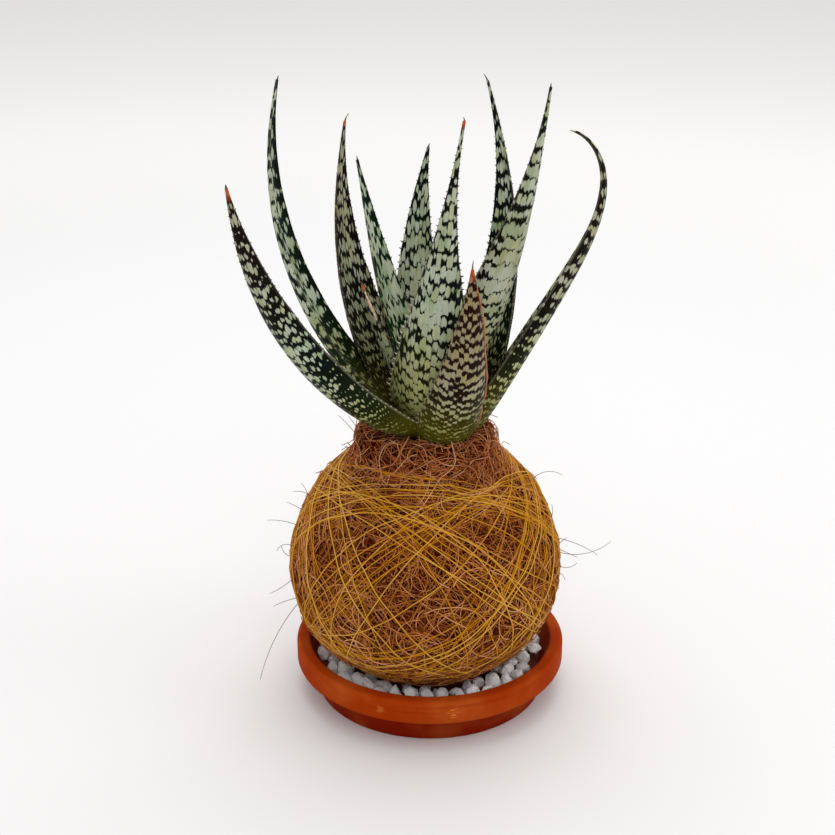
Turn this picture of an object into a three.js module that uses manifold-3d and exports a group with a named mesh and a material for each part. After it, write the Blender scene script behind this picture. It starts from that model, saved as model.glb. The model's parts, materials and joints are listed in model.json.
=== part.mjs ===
// Spotted aloe growing from a ball of soil that is wrapped in coir fibre, wound with golden
// thread and seated in white gravel in a round terracotta saucer.
// Millimetres, +Z up, origin at the centre of the saucer's flat underside, the view from -Y.
import * as THREE from 'three';
import { mergeVertices } from 'three/addons/utils/BufferGeometryUtils.js';
import Module from 'manifold-3d';

const wasm = await Module();
wasm.setup();

// Clearance kept between pieces that rest on each other
const GAP = 0.3;

// Saucer
const SAUCER_RADIUS = 55;
const SAUCER_HEIGHT = 22;
const SAUCER_BASE_RADIUS = 46.5;
const SAUCER_BODY_RADIUS = 49.5;
const SAUCER_FLOOR = 6;
const BASE_ROUND = 0.8;
const BAND_BOTTOM = 11.6;
const BAND_ROUND = 1.4;
const LIP_ROUND = 1.8;
const LIP_ANGLES = [0, 45, 90];
const INNER_ROUND = 1.5;
const INNER_RIM_RADIUS = 49.4;
const INNER_FLOOR_RADIUS = 43;
const SAUCER_SEGMENTS = 44;

// Ball: an egg of revolution with a taller upper half and a flattened foot
const BALL_X = -2;
const BALL_Z = 54;
const BALL_RADIUS = 54.6;
const BALL_UP = 56.8;
const BALL_DOWN = 44.8;
const BALL_FOOT = 10.6;
const BALL_SEGMENTS = 36;
const BALL_RINGS = 11;
const COIR_THICKNESS = 5;
const COIR_INNER_RINGS = 8;
const COIR_DENT = 1;
const SHOULDER_RADIUS = 30.1;

// Collar of coir round the leaf bases, radius and height: in at the waist, out at the frayed
// top, over the rim and down inside to the neck's foot
const COLLAR = [
  [27.4, 104.5], [26.6, 108], [27.2, 112.4], [25.2, 115.2], [20.3, 116], [13, 114.4], [13, 103],
];
const NECK_FOOT = 103;
const NECK_STEP = 1;

// Soil
const SOIL_GAP = 1.2;
const SOIL_SEGMENTS = 24;
const SOIL_RINGS = 7;
const SOIL_HOLE_DEPTH = 60;

// Winding thread
const THREAD_RADIUS = 0.45;
const THREAD_LIFT = 1.2;
const THREAD_SEGMENTS = 32;
const THREAD_TURNS = 7;
const THREAD_LEAN = [26, 53];
const THREAD_LEAN_STEP = 0.618;
const THREAD_OFFSET = 0.08;
const THREAD_OFFSET_STEP = 2.4;
const THREAD_SIDES = 3;

// Gravel
const GRAVEL_TOP = 15.4;
const GRAVEL_FOOT = 8;
const GRAVEL_FOOT_ROUND = 2.4;
const SEAT_RINGS = 8;
const SEAT_STEP = 2.5;
const PEBBLE_COUNT = 54;
const PEBBLE_RADIUS = [2.9, 3.9];
const PEBBLE_RING = [27, 42.5];
const PEBBLE_UNEVEN = [0.84, 1.14];
const PEBBLE_BREADTH = [0.75, 1.05];
const PEBBLE_FLATNESS = 0.8;
const PEBBLE_RISE = 0.4;
const PEBBLE_SEED = 7;

// Stem
const STEM_X = 2;
const STEM_RADIUS = 8;
const STEM_FOOT = 80;
const STEM_TOP = 120;
const STEM_TAPER = 0.4;
const STEM_POINT_RADIUS = 5.4;
const STEM_POINT_HEIGHTS = [5, 1.6];
const STEM_ROUND = 8;
const STEM_FOOT_RADIUS = 6.4;
const STEM_SEGMENTS = 20;

// Leaf section and margin
const LEAF_THICKNESS = 0.27;
const LEAF_CHANNEL = 0.22;
const MARGIN_THICKNESS = 0.6;
const TIP_WIDTH = 0.9;
const TIP_LENGTH = 1.6;
const BELLY_EXPONENT = 1.6;
const BASE_NARROWING = 0.25;
const BASE_NARROWING_END = 0.18;
const TOOTH_HEIGHT = 1.1;
const TOOTH_SPACING = 8.6;

// Leaves, innermost first. azimuth is the side of the stem that a leaf grows from (0 is right,
// 90 is the back), lean the angle from upright at its base and tip, bend how late it takes up
// the tip's lean, sway the sideways lean, roll the twist at the tip, all in degrees. start is
// the radius from the stem's axis and the height at which it leaves the stem.
const LEAVES = [
  { name: 'leaf_young', azimuth: 178, lean: [28, 21], bend: 1, sway: [-2, -2], roll: -2,
    length: 58, width: 15.5, taper: 0.5, start: [4, 119.4] },
  { name: 'leaf_inner_left', azimuth: 140, lean: [26, 10], bend: 1, sway: [0, 4.5], roll: 0,
    length: 103, width: 17.5, taper: 1.2, start: [4, 119.4] },
  { name: 'leaf_back', azimuth: 88, lean: [32, 6], bend: 1, sway: [15, -10.5], roll: 0,
    length: 106.5, width: 25.5, taper: 1.25, start: [4, 118.5] },
  { name: 'leaf_right_tall', azimuth: 312, lean: [27, 11.5], bend: 1.65, sway: [9, -2.5], roll: -9.5,
    length: 145, width: 32, taper: 1.7, start: [-3, 121] },
  { name: 'leaf_front', azimuth: 257, lean: [22, -2], bend: 1.2, sway: [5, 9.5], roll: 0,
    length: 131, width: 37, taper: 2.2, start: [6, 117.6] },
  { name: 'leaf_back_left', azimuth: 132, lean: [50, 1.5], bend: 0.65, sway: [15, -12], roll: 6,
    length: 125, width: 24.5, taper: 1.3, start: [6.5, 115.2] },
  { name: 'leaf_back_right', azimuth: 50, lean: [44, 1], bend: 0.3, sway: [-20, 21.5], roll: 0,
    length: 137.5, width: 26, taper: 1.6, start: [7, 115] },
  { name: 'leaf_left', azimuth: 178, lean: [49.5, -13], bend: 1.1, sway: [-1, 6], roll: -21,
    length: 153.5, width: 20, taper: 1.05, start: [8, 115.5] },
  { name: 'leaf_left_low', azimuth: 210, lean: [64, 12], bend: 0.95, sway: [10, 5], roll: 50,
    length: 145.5, width: 25.5, taper: 1.15, start: [8.5, 117] },
  { name: 'leaf_right_curled', azimuth: 348, lean: [30, -71], bend: 6.9, sway: [5, -7], roll: 0,
    length: 140.5, width: 21.5, taper: 1, start: [10, 112] },
  { name: 'leaf_front_short', azimuth: 281, lean: [41, 4], bend: 1.3, sway: [5.5, -1.5], roll: 0,
    length: 92, width: 25.5, taper: 1.1, start: [9.5, 112.3] },
];

// Finishes
const COLOURS = {
  terracotta: { color: 0xb4501c, roughness: 0.55 },
  pebble: { color: 0xd9d9d6, roughness: 0.7 },
  soil: { color: 0x35261b, roughness: 1 },
  coir: { color: 0x7a3f16, roughness: 0.95 },
  thread: { color: 0xc8921c, roughness: 0.4 },
  stem: { color: 0x6d7440, roughness: 0.7 },
  leaf: { color: 0x66745a, roughness: 0.5 },
};

const radians = THREE.MathUtils.degToRad;
const mix = THREE.MathUtils.lerp;

// Repeatable draw of numbers from 0 to 1
function draws(seed) {
  let state = seed;
  return () => {
    state = (state * 1664525 + 1013904223) % 4294967296;
    return state / 4294967296;
  };
}

// Solids and surfaces
function toSolid(geometry) {
  const bare = geometry.clone();
  bare.deleteAttribute('normal');
  bare.deleteAttribute('uv');
  const merged = mergeVertices(bare);
  const mesh = new wasm.Mesh({
    numProp: 3,
    vertProperties: new Float32Array(merged.attributes.position.array),
    triVerts: new Uint32Array(merged.index.array),
  });
  return new wasm.Manifold(mesh);
}

function toGeometry(solid) {
  const mesh = solid.getMesh();
  const geometry = new THREE.BufferGeometry();
  geometry.setAttribute('position', new THREE.BufferAttribute(mesh.vertProperties, 3));
  geometry.setIndex(new THREE.BufferAttribute(mesh.triVerts, 1));
  geometry.computeVertexNormals();
  return geometry;
}

function largestBody(solid) {
  const bodies = solid.decompose();
  return bodies.reduce((best, body) => (body.volume() > best.volume() ? body : best));
}

function lathe(profile, segments, x = 0) {
  const points = profile.map(([radius, z]) => new THREE.Vector2(radius, z));
  return new THREE.LatheGeometry(points, segments).rotateX(Math.PI / 2).translate(x, 0, 0);
}

// Saucer: stepped body under an upright band with a rounded lip, walls sloping in to the floor
function saucerProfile() {
  const lip = [];
  const lipCentre = SAUCER_RADIUS - LIP_ROUND;
  for (const angle of LIP_ANGLES) {
    const turn = radians(angle);
    lip.push([lipCentre + LIP_ROUND * Math.cos(turn), SAUCER_HEIGHT - LIP_ROUND * (1 - Math.sin(turn))]);
  }
  return [
    [0, 0],
    [SAUCER_BASE_RADIUS - BASE_ROUND, 0],
    [SAUCER_BASE_RADIUS, BASE_ROUND],
    [SAUCER_BODY_RADIUS, BAND_BOTTOM],
    [SAUCER_RADIUS - BAND_ROUND, BAND_BOTTOM],
    [SAUCER_RADIUS, BAND_BOTTOM + BAND_ROUND],
    ...lip,
    [INNER_RIM_RADIUS + INNER_ROUND, SAUCER_HEIGHT],
    [INNER_RIM_RADIUS, SAUCER_HEIGHT - INNER_ROUND],
    [INNER_FLOOR_RADIUS, SAUCER_FLOOR + INNER_ROUND],
    [INNER_FLOOR_RADIUS - INNER_ROUND, SAUCER_FLOOR],
    [0, SAUCER_FLOOR],
  ];
}

// The saucer's inside radius at a height on its sloping wall
function saucerWall(z) {
  const low = SAUCER_FLOOR + INNER_ROUND;
  const high = SAUCER_HEIGHT - INNER_ROUND;
  return mix(INNER_FLOOR_RADIUS, INNER_RIM_RADIUS, (z - low) / (high - low));
}

// Ball: the egg's radius at a height, for the coir's outside and, with a negative grow, its inside
function eggRadius(z, grow = 0) {
  const reach = (z > BALL_Z ? BALL_UP : BALL_DOWN) + grow;
  const share = (z - BALL_Z) / reach;
  return (BALL_RADIUS + grow) * Math.sqrt(Math.max(0, 1 - share * share));
}

function eggProfile(low, high, grow, rings) {
  const start = Math.asin((low - BALL_Z) / (BALL_DOWN + grow));
  const end = Math.asin((high - BALL_Z) / (BALL_UP + grow));
  const profile = [];
  for (let i = 0; i <= rings; i += 1) {
    const angle = mix(start, end, i / rings);
    const reach = (angle > 0 ? BALL_UP : BALL_DOWN) + grow;
    const z = BALL_Z + reach * Math.sin(angle);
    profile.push([eggRadius(z, grow), z]);
  }
  return profile;
}

// Coir mat: hollow egg with an open neck, its outside softly dented as hand-wrapped fibre is
function coirGeometry() {
  const shoulder = BALL_Z + BALL_UP * Math.sqrt(1 - (SHOULDER_RADIUS / BALL_RADIUS) ** 2);
  const innerFoot = BALL_FOOT + COIR_THICKNESS;
  const outside = eggProfile(BALL_FOOT, shoulder, 0, BALL_RINGS);
  const inside = eggProfile(innerFoot, NECK_FOOT - NECK_STEP, -COIR_THICKNESS, COIR_INNER_RINGS);
  const profile = [[0, BALL_FOOT], ...outside, ...COLLAR, ...inside.reverse(), [0, innerFoot]];
  const geometry = lathe(profile, BALL_SEGMENTS);
  const position = geometry.attributes.position;
  const point = new THREE.Vector3();
  for (let i = 0; i < position.count; i += 1) {
    point.fromBufferAttribute(position, i);
    const radius = Math.hypot(point.x, point.y);
    const outer = radius > eggRadius(point.z) - COIR_THICKNESS / 10;
    if (outer && point.z > BALL_FOOT + COIR_DENT && point.z < NECK_FOOT) {
      const turn = Math.atan2(point.y, point.x);
      const wave = Math.sin(3 * turn + point.z / 9) * Math.cos(5 * turn - point.z / 13);
      const scale = 1 - (COIR_DENT * (0.5 + 0.5 * wave)) / radius;
      position.setXY(i, point.x * scale, point.y * scale);
    }
  }
  return geometry.translate(BALL_X, 0, 0);
}

// Soil: fills the coir, with a plain hole that the stem's foot stands in
function soilSolid() {
  const low = BALL_FOOT + COIR_THICKNESS + GAP;
  const high = NECK_FOOT - SOIL_GAP;
  const side = eggProfile(low, high, -COIR_THICKNESS - SOIL_GAP, SOIL_RINGS);
  const ball = lathe([[0, low], ...side, [0, high]], SOIL_SEGMENTS, BALL_X);
  const radius = STEM_RADIUS + GAP;
  const hole = new THREE.CylinderGeometry(radius, radius, SOIL_HOLE_DEPTH, STEM_SEGMENTS);
  hole.rotateX(Math.PI / 2).translate(STEM_X, 0, STEM_FOOT - GAP + SOIL_HOLE_DEPTH / 2);
  return toSolid(ball).subtract(toSolid(hole));
}

// Stem: short and stout, tapering to a rounded growing point
function stemGeometry(grow = 0) {
  const radius = STEM_RADIUS - STEM_TAPER + grow;
  const profile = [
    [0, STEM_FOOT - grow],
    [STEM_FOOT_RADIUS + grow, STEM_FOOT - grow],
    [radius, STEM_FOOT + STEM_ROUND],
    [radius, STEM_TOP - STEM_POINT_HEIGHTS[0]],
    [STEM_POINT_RADIUS + grow, STEM_TOP - STEM_POINT_HEIGHTS[1] + grow],
    [0, STEM_TOP + grow],
  ];
  return lathe(profile, STEM_SEGMENTS, STEM_X);
}

// Winding thread: closed turns laid on the ball in leaning planes, fused where they cross
function threadTurn(lean, turn, offset) {
  const normal = new THREE.Vector3(0, 0, 1).applyAxisAngle(new THREE.Vector3(1, 0, 0), radians(lean));
  normal.applyAxisAngle(new THREE.Vector3(0, 0, 1), radians(turn));
  const side = new THREE.Vector3(0, 0, 1).cross(normal).normalize();
  const rise = normal.clone().cross(side);
  const points = [];
  for (let i = 0; i < THREAD_SEGMENTS; i += 1) {
    const angle = (2 * Math.PI * i) / THREAD_SEGMENTS;
    const ray = side.clone().multiplyScalar(Math.cos(angle)).addScaledVector(rise, Math.sin(angle));
    ray.addScaledVector(normal, offset);
    const across = (BALL_RADIUS + THREAD_LIFT) ** 2;
    const along = ((ray.z > 0 ? BALL_UP : BALL_DOWN) + THREAD_LIFT) ** 2;
    ray.multiplyScalar(1 / Math.sqrt((ray.x * ray.x + ray.y * ray.y) / across + (ray.z * ray.z) / along));
    points.push(new THREE.Vector3(ray.x + BALL_X, ray.y, ray.z + BALL_Z));
  }
  const curve = new THREE.CatmullRomCurve3(points, true);
  return new THREE.TubeGeometry(curve, THREAD_SEGMENTS, THREAD_RADIUS, THREAD_SIDES, true);
}

function threadSolid() {
  const solids = [];
  for (let i = 0; i < THREAD_TURNS; i += 1) {
    const lean = mix(THREAD_LEAN[0], THREAD_LEAN[1], (i * THREAD_LEAN_STEP) % 1);
    const offset = THREAD_OFFSET * Math.sin(THREAD_OFFSET_STEP * i);
    solids.push(toSolid(threadTurn(lean, (360 * i) / THREAD_TURNS, offset)));
  }
  return solids.reduce((network, turn) => network.add(turn));
}

// Gravel: a packed bed with the ball's seat in it and angular pebbles standing out of its top
function seatGeometry() {
  const clear = THREAD_LIFT + THREAD_RADIUS + GAP;
  const profile = eggProfile(BALL_FOOT + COIR_DENT, BALL_Z, clear, SEAT_RINGS);
  const foot = BALL_FOOT - GAP;
  const outline = [[0, foot], [profile[0][0] - SEAT_STEP, foot], ...profile, [0, BALL_Z]];
  return lathe(outline, BALL_SEGMENTS, BALL_X);
}

function pebbleGeometry(draw) {
  const radius = mix(PEBBLE_RADIUS[0], PEBBLE_RADIUS[1], draw());
  const ball = new THREE.IcosahedronGeometry(radius, 0);
  const geometry = mergeVertices(ball.deleteAttribute('uv').deleteAttribute('normal'));
  const position = geometry.attributes.position;
  const point = new THREE.Vector3();
  for (let i = 0; i < position.count; i += 1) {
    point.fromBufferAttribute(position, i).multiplyScalar(mix(PEBBLE_UNEVEN[0], PEBBLE_UNEVEN[1], draw()));
    position.setXYZ(i, point.x, point.y, point.z);
  }
  geometry.scale(1, mix(PEBBLE_BREADTH[0], PEBBLE_BREADTH[1], draw()), PEBBLE_FLATNESS);
  geometry.rotateX(2 * Math.PI * draw()).rotateY(2 * Math.PI * draw());
  return geometry;
}

function gravelSolid() {
  const foot = SAUCER_FLOOR + GAP;
  const bed = lathe([
    [0, foot],
    [INNER_FLOOR_RADIUS - GRAVEL_FOOT_ROUND, foot],
    [saucerWall(GRAVEL_FOOT) - 2 * GAP, GRAVEL_FOOT],
    [saucerWall(GRAVEL_TOP) - 2 * GAP, GRAVEL_TOP],
    [0, GRAVEL_TOP],
  ], SAUCER_SEGMENTS);
  const draw = draws(PEBBLE_SEED);
  let gravel = toSolid(bed);
  const turnStep = Math.PI * (3 - Math.sqrt(5));
  for (let i = 0; i < PEBBLE_COUNT; i += 1) {
    const share = (i + 0.5) / PEBBLE_COUNT;
    const radius = Math.sqrt(mix(PEBBLE_RING[0] ** 2, PEBBLE_RING[1] ** 2, share));
    const turn = i * turnStep;
    const pebble = pebbleGeometry(draw);
    pebble.translate(radius * Math.cos(turn), radius * Math.sin(turn), GRAVEL_TOP + PEBBLE_RISE * draw());
    gravel = gravel.add(toSolid(pebble));
  }
  return gravel.subtract(toSolid(seatGeometry()));
}

// Leaves
function leafFrame(leaf, share) {
  const lean = radians(mix(leaf.lean[0], leaf.lean[1], share ** leaf.bend));
  const sway = radians(mix(leaf.sway[0], leaf.sway[1], share));
  const azimuth = radians(leaf.azimuth);
  const outward = new THREE.Vector3(Math.cos(azimuth), Math.sin(azimuth), 0);
  const upright = new THREE.Vector3(0, 0, Math.cos(lean)).addScaledVector(outward, Math.sin(lean));
  const across = new THREE.Vector3(-Math.sin(azimuth), Math.cos(azimuth), 0);
  const inward = upright.clone().cross(across);
  const along = upright.clone().multiplyScalar(Math.cos(sway)).addScaledVector(across, Math.sin(sway));
  const side = across.clone().multiplyScalar(Math.cos(sway)).addScaledVector(upright, -Math.sin(sway));
  const roll = radians(leaf.roll * share);
  return {
    along,
    side: side.clone().multiplyScalar(Math.cos(roll)).addScaledVector(inward, Math.sin(roll)),
    inward: inward.clone().multiplyScalar(Math.cos(roll)).addScaledVector(side, -Math.sin(roll)),
  };
}

function leafWidth(leaf, share) {
  const fromBase = Math.min(1, share / BASE_NARROWING_END);
  const base = 1 - BASE_NARROWING * (1 - fromBase) ** 2;
  return leaf.width * base * (1 - share ** BELLY_EXPONENT) ** leaf.taper + TIP_WIDTH;
}

// One cross-section: a shallow channel above, a rounded back below, blunt toothed margins
function leafRing(leaf, share, centre, tooth, grow) {
  const { side, inward } = leafFrame(leaf, share);
  const width = leafWidth(leaf, share);
  const half = width / 2;
  const depth = Math.max(LEAF_THICKNESS * width, MARGIN_THICKNESS + 0.2);
  const upper = (u) => LEAF_CHANNEL * half * u * u;
  const lower = (u) => upper(u) - MARGIN_THICKNESS - (depth - MARGIN_THICKNESS) * Math.sqrt(1 - u * u);
  const reach = half + grow + tooth;
  const section = [
    [-reach, upper(1) + grow],
    [0, upper(0) + grow],
    [reach, upper(1) + grow],
    [reach, lower(1) - grow],
    [0.55 * (half + grow), lower(0.55) - grow],
    [-0.55 * (half + grow), lower(0.55) - grow],
    [-reach, lower(1) - grow],
  ];
  return section.map(([x, y]) => centre.clone().addScaledVector(side, x).addScaledVector(inward, y));
}

function leafGeometry(leaf, grow = 0) {
  const steps = 2 * Math.round(leaf.length / TOOTH_SPACING);
  const stepLength = leaf.length / steps;
  const azimuth = radians(leaf.azimuth);
  const [radius, height] = leaf.start;
  const centre = new THREE.Vector3(STEM_X + radius * Math.cos(azimuth), radius * Math.sin(azimuth), height);
  const rings = [];
  for (let i = 0; i <= steps; i += 1) {
    const share = i / steps;
    const toothed = i % 2 === 1 && i > 1;
    const tooth = toothed ? TOOTH_HEIGHT * Math.min(1, leafWidth(leaf, share) / 7) : 0;
    rings.push(leafRing(leaf, share, centre, tooth, grow));
    centre.addScaledVector(leafFrame(leaf, share + 0.5 / steps).along, stepLength);
  }
  const tip = centre.clone().addScaledVector(leafFrame(leaf, 1).along, TIP_LENGTH - stepLength + grow);
  return loft(rings, tip);
}

// Skin over a row of like rings, closed flat at the first and to a point after the last
function loft(rings, tip) {
  const sides = rings[0].length;
  const points = rings.flat();
  const foot = new THREE.Vector3();
  rings[0].forEach((point) => foot.addScaledVector(point, 1 / sides));
  points.push(foot, tip);
  const index = [];
  for (let i = 0; i < sides; i += 1) {
    const next = (i + 1) % sides;
    for (let ring = 0; ring < rings.length - 1; ring += 1) {
      const low = ring * sides;
      const high = low + sides;
      index.push(low + i, high + next, low + next, low + i, high + i, high + next);
    }
    const last = (rings.length - 1) * sides;
    index.push(points.length - 2, i, next);
    index.push(points.length - 1, last + next, last + i);
  }
  const geometry = new THREE.BufferGeometry().setFromPoints(points);
  geometry.setIndex(index);
  return geometry;
}

// Each leaf makes room for the stem and for the leaves inside it, as in a real rosette
function leafSolids() {
  const solids = [];
  let inside = toSolid(stemGeometry(GAP));
  for (const leaf of LEAVES) {
    solids.push({ name: leaf.name, solid: largestBody(toSolid(leafGeometry(leaf)).subtract(inside)) });
    inside = inside.add(toSolid(leafGeometry(leaf, GAP)));
  }
  return { solids, inside };
}

// Scene graph
function piece(name, geometry, finish) {
  const material = new THREE.MeshStandardMaterial({ ...COLOURS[finish], metalness: 0, name: finish });
  const mesh = new THREE.Mesh(geometry, material);
  mesh.name = name;
  return mesh;
}

const leaves = leafSolids();
const coir = largestBody(toSolid(coirGeometry()).subtract(leaves.inside));

const holder = new THREE.Group();
holder.add(piece('saucer', lathe(saucerProfile(), SAUCER_SEGMENTS), 'terracotta'));
holder.add(piece('gravel_bed', toGeometry(gravelSolid()), 'pebble'));

const ball = new THREE.Group();
ball.add(piece('soil_core', toGeometry(soilSolid()), 'soil'));
ball.add(piece('coir_wrap', toGeometry(coir), 'coir'));
ball.add(piece('winding_thread', toGeometry(threadSolid()), 'thread'));

const rosette = new THREE.Group();
rosette.add(piece('stem', stemGeometry(), 'stem'));
for (const { name, solid } of leaves.solids) {
  rosette.add(piece(name, toGeometry(solid), 'leaf'));
}

const plant = new THREE.Group();
plant.add(holder, ball, rosette);

export default plant;
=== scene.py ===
import json
import math
from collections import namedtuple

import bmesh
import bpy
import numpy as np
from bpy.props import FloatProperty, FloatVectorProperty, IntProperty, PointerProperty
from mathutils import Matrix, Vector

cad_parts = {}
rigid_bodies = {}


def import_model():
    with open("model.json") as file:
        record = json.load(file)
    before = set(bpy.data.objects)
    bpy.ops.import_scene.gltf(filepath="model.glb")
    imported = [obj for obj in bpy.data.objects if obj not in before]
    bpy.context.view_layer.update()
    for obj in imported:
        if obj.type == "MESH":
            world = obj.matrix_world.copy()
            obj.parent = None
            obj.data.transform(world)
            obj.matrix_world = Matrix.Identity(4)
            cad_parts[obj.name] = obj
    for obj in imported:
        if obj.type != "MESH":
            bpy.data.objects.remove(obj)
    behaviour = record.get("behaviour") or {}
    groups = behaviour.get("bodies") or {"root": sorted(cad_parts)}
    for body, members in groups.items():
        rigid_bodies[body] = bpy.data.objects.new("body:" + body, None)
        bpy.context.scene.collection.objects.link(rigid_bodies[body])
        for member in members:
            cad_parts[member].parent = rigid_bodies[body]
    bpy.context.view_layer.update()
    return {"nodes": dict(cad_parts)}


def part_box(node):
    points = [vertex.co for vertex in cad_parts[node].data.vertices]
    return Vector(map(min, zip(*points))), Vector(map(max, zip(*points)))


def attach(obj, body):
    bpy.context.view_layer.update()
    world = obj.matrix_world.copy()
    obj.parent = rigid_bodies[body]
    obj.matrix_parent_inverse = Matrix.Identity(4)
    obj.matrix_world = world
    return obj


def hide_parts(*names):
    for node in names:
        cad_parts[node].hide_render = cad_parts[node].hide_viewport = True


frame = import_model()

bl_info = {
    "name": "Kokedama",
    "version": (1, 0, 0),
    "blender": (4, 5, 0),
    "location": "3D View > Sidebar > Kokedama",
    "description": "Spotted aloe in a coir ball wound with golden thread, on gravel in a saucer",
    "category": "Object",
}

MM = 0.001

# The ball is an egg as in the solid: its middle, its radius and its reach up and down
BALL_X = -2 * MM
BALL_Z = 54 * MM
BALL_RADIUS = 54.6 * MM
BALL_UP = 56.8 * MM
BALL_DOWN = 44.8 * MM
BALL_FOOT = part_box("coir_wrap")[0].z
# The mat's radii at its flat foot and under its collar, and how far it lies inside the ball's skin
FOOT_RADIUS = 12 * MM
SHOULDER_RADIUS = 30.1 * MM
MAT_INSET = 0.6 * MM
# How finely the mat is turned: steps round it, rings up its side and rings over its collar
MAT_STEPS = 150
MAT_RINGS = 90
COLLAR_RINGS = 30
# The mat's soft dents start at this height, come in over this rise, in millimetres, and stay
# outside this radius
DENT_BOTTOM = 12
DENT_RISE = 6
DENT_RADIUS = 20 * MM
# The frayed collar's outline, as radius and height in millimetres, and the mat's lowest point inside
COLLAR = ((29.4, 103.6), (27.9, 105.2), (27, 108), (27, 111), (26.6, 113.2), (25, 114.9),
          (22, 115.4), (18, 115), (14.5, 113.6), (13, 110))
NECK_BOTTOM = 109 * MM

# Steps round the saucer
SAUCER_STEPS = 192
# Small pale flecks on the front of the band: their middles and sizes in millimetres, and how pale they are
PALE_FLECKS = (((9, -54.3, 17), 5.4, 1), ((-20, -51.2, 16.5), 5, 0.35))
# Dark patches on the front of the coir: their middles and half widths, in millimetres
DARK_PATCHES = (((-21, -49.6, 45), 3.8), ((-6, -52.8, 67), 2.8))

# The gravel lies higher on one side of the ball: by how much, in millimetres, and towards which turn
GRAVEL_TILT = 1.6
GRAVEL_HIGH = math.radians(40)
# Steps round the gravel's floor and layers, and the floor's outline as radius and height, in
# millimetres
GRAVEL_STEPS = 96
GRAVEL_FLOOR = ((0, 6.3), (40.5, 6.3), (43.4, 8), (45.6, 12.4), (38, 12.4), (24, 8.6), (0, 8.6))
# Layers of pebbles: inner and outer radius, and how far they lie above the gravel's top
GRAVEL_LAYERS = ((28, 43, -2.4), (36, 44.2, 0.8))
# The flat facets of a chip of stone face evenly all round, each turned by the golden angle from
# the last one, in radians
GOLDEN_ANGLE = 2.4
FACETS = [(math.cos(i * GOLDEN_ANGLE) * math.sqrt(1 - z * z),
           math.sin(i * GOLDEN_ANGLE) * math.sqrt(1 - z * z), z)
          for i, z in enumerate(np.linspace(-0.93, 0.93, 13))]

# A leaf's growth as in the solid, in degrees and millimetres. Its lean and sway run from base to
# tip, and it starts at a radius and a height.
Growth = namedtuple("Growth", "azimuth lean bend sway roll length width taper start")
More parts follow.
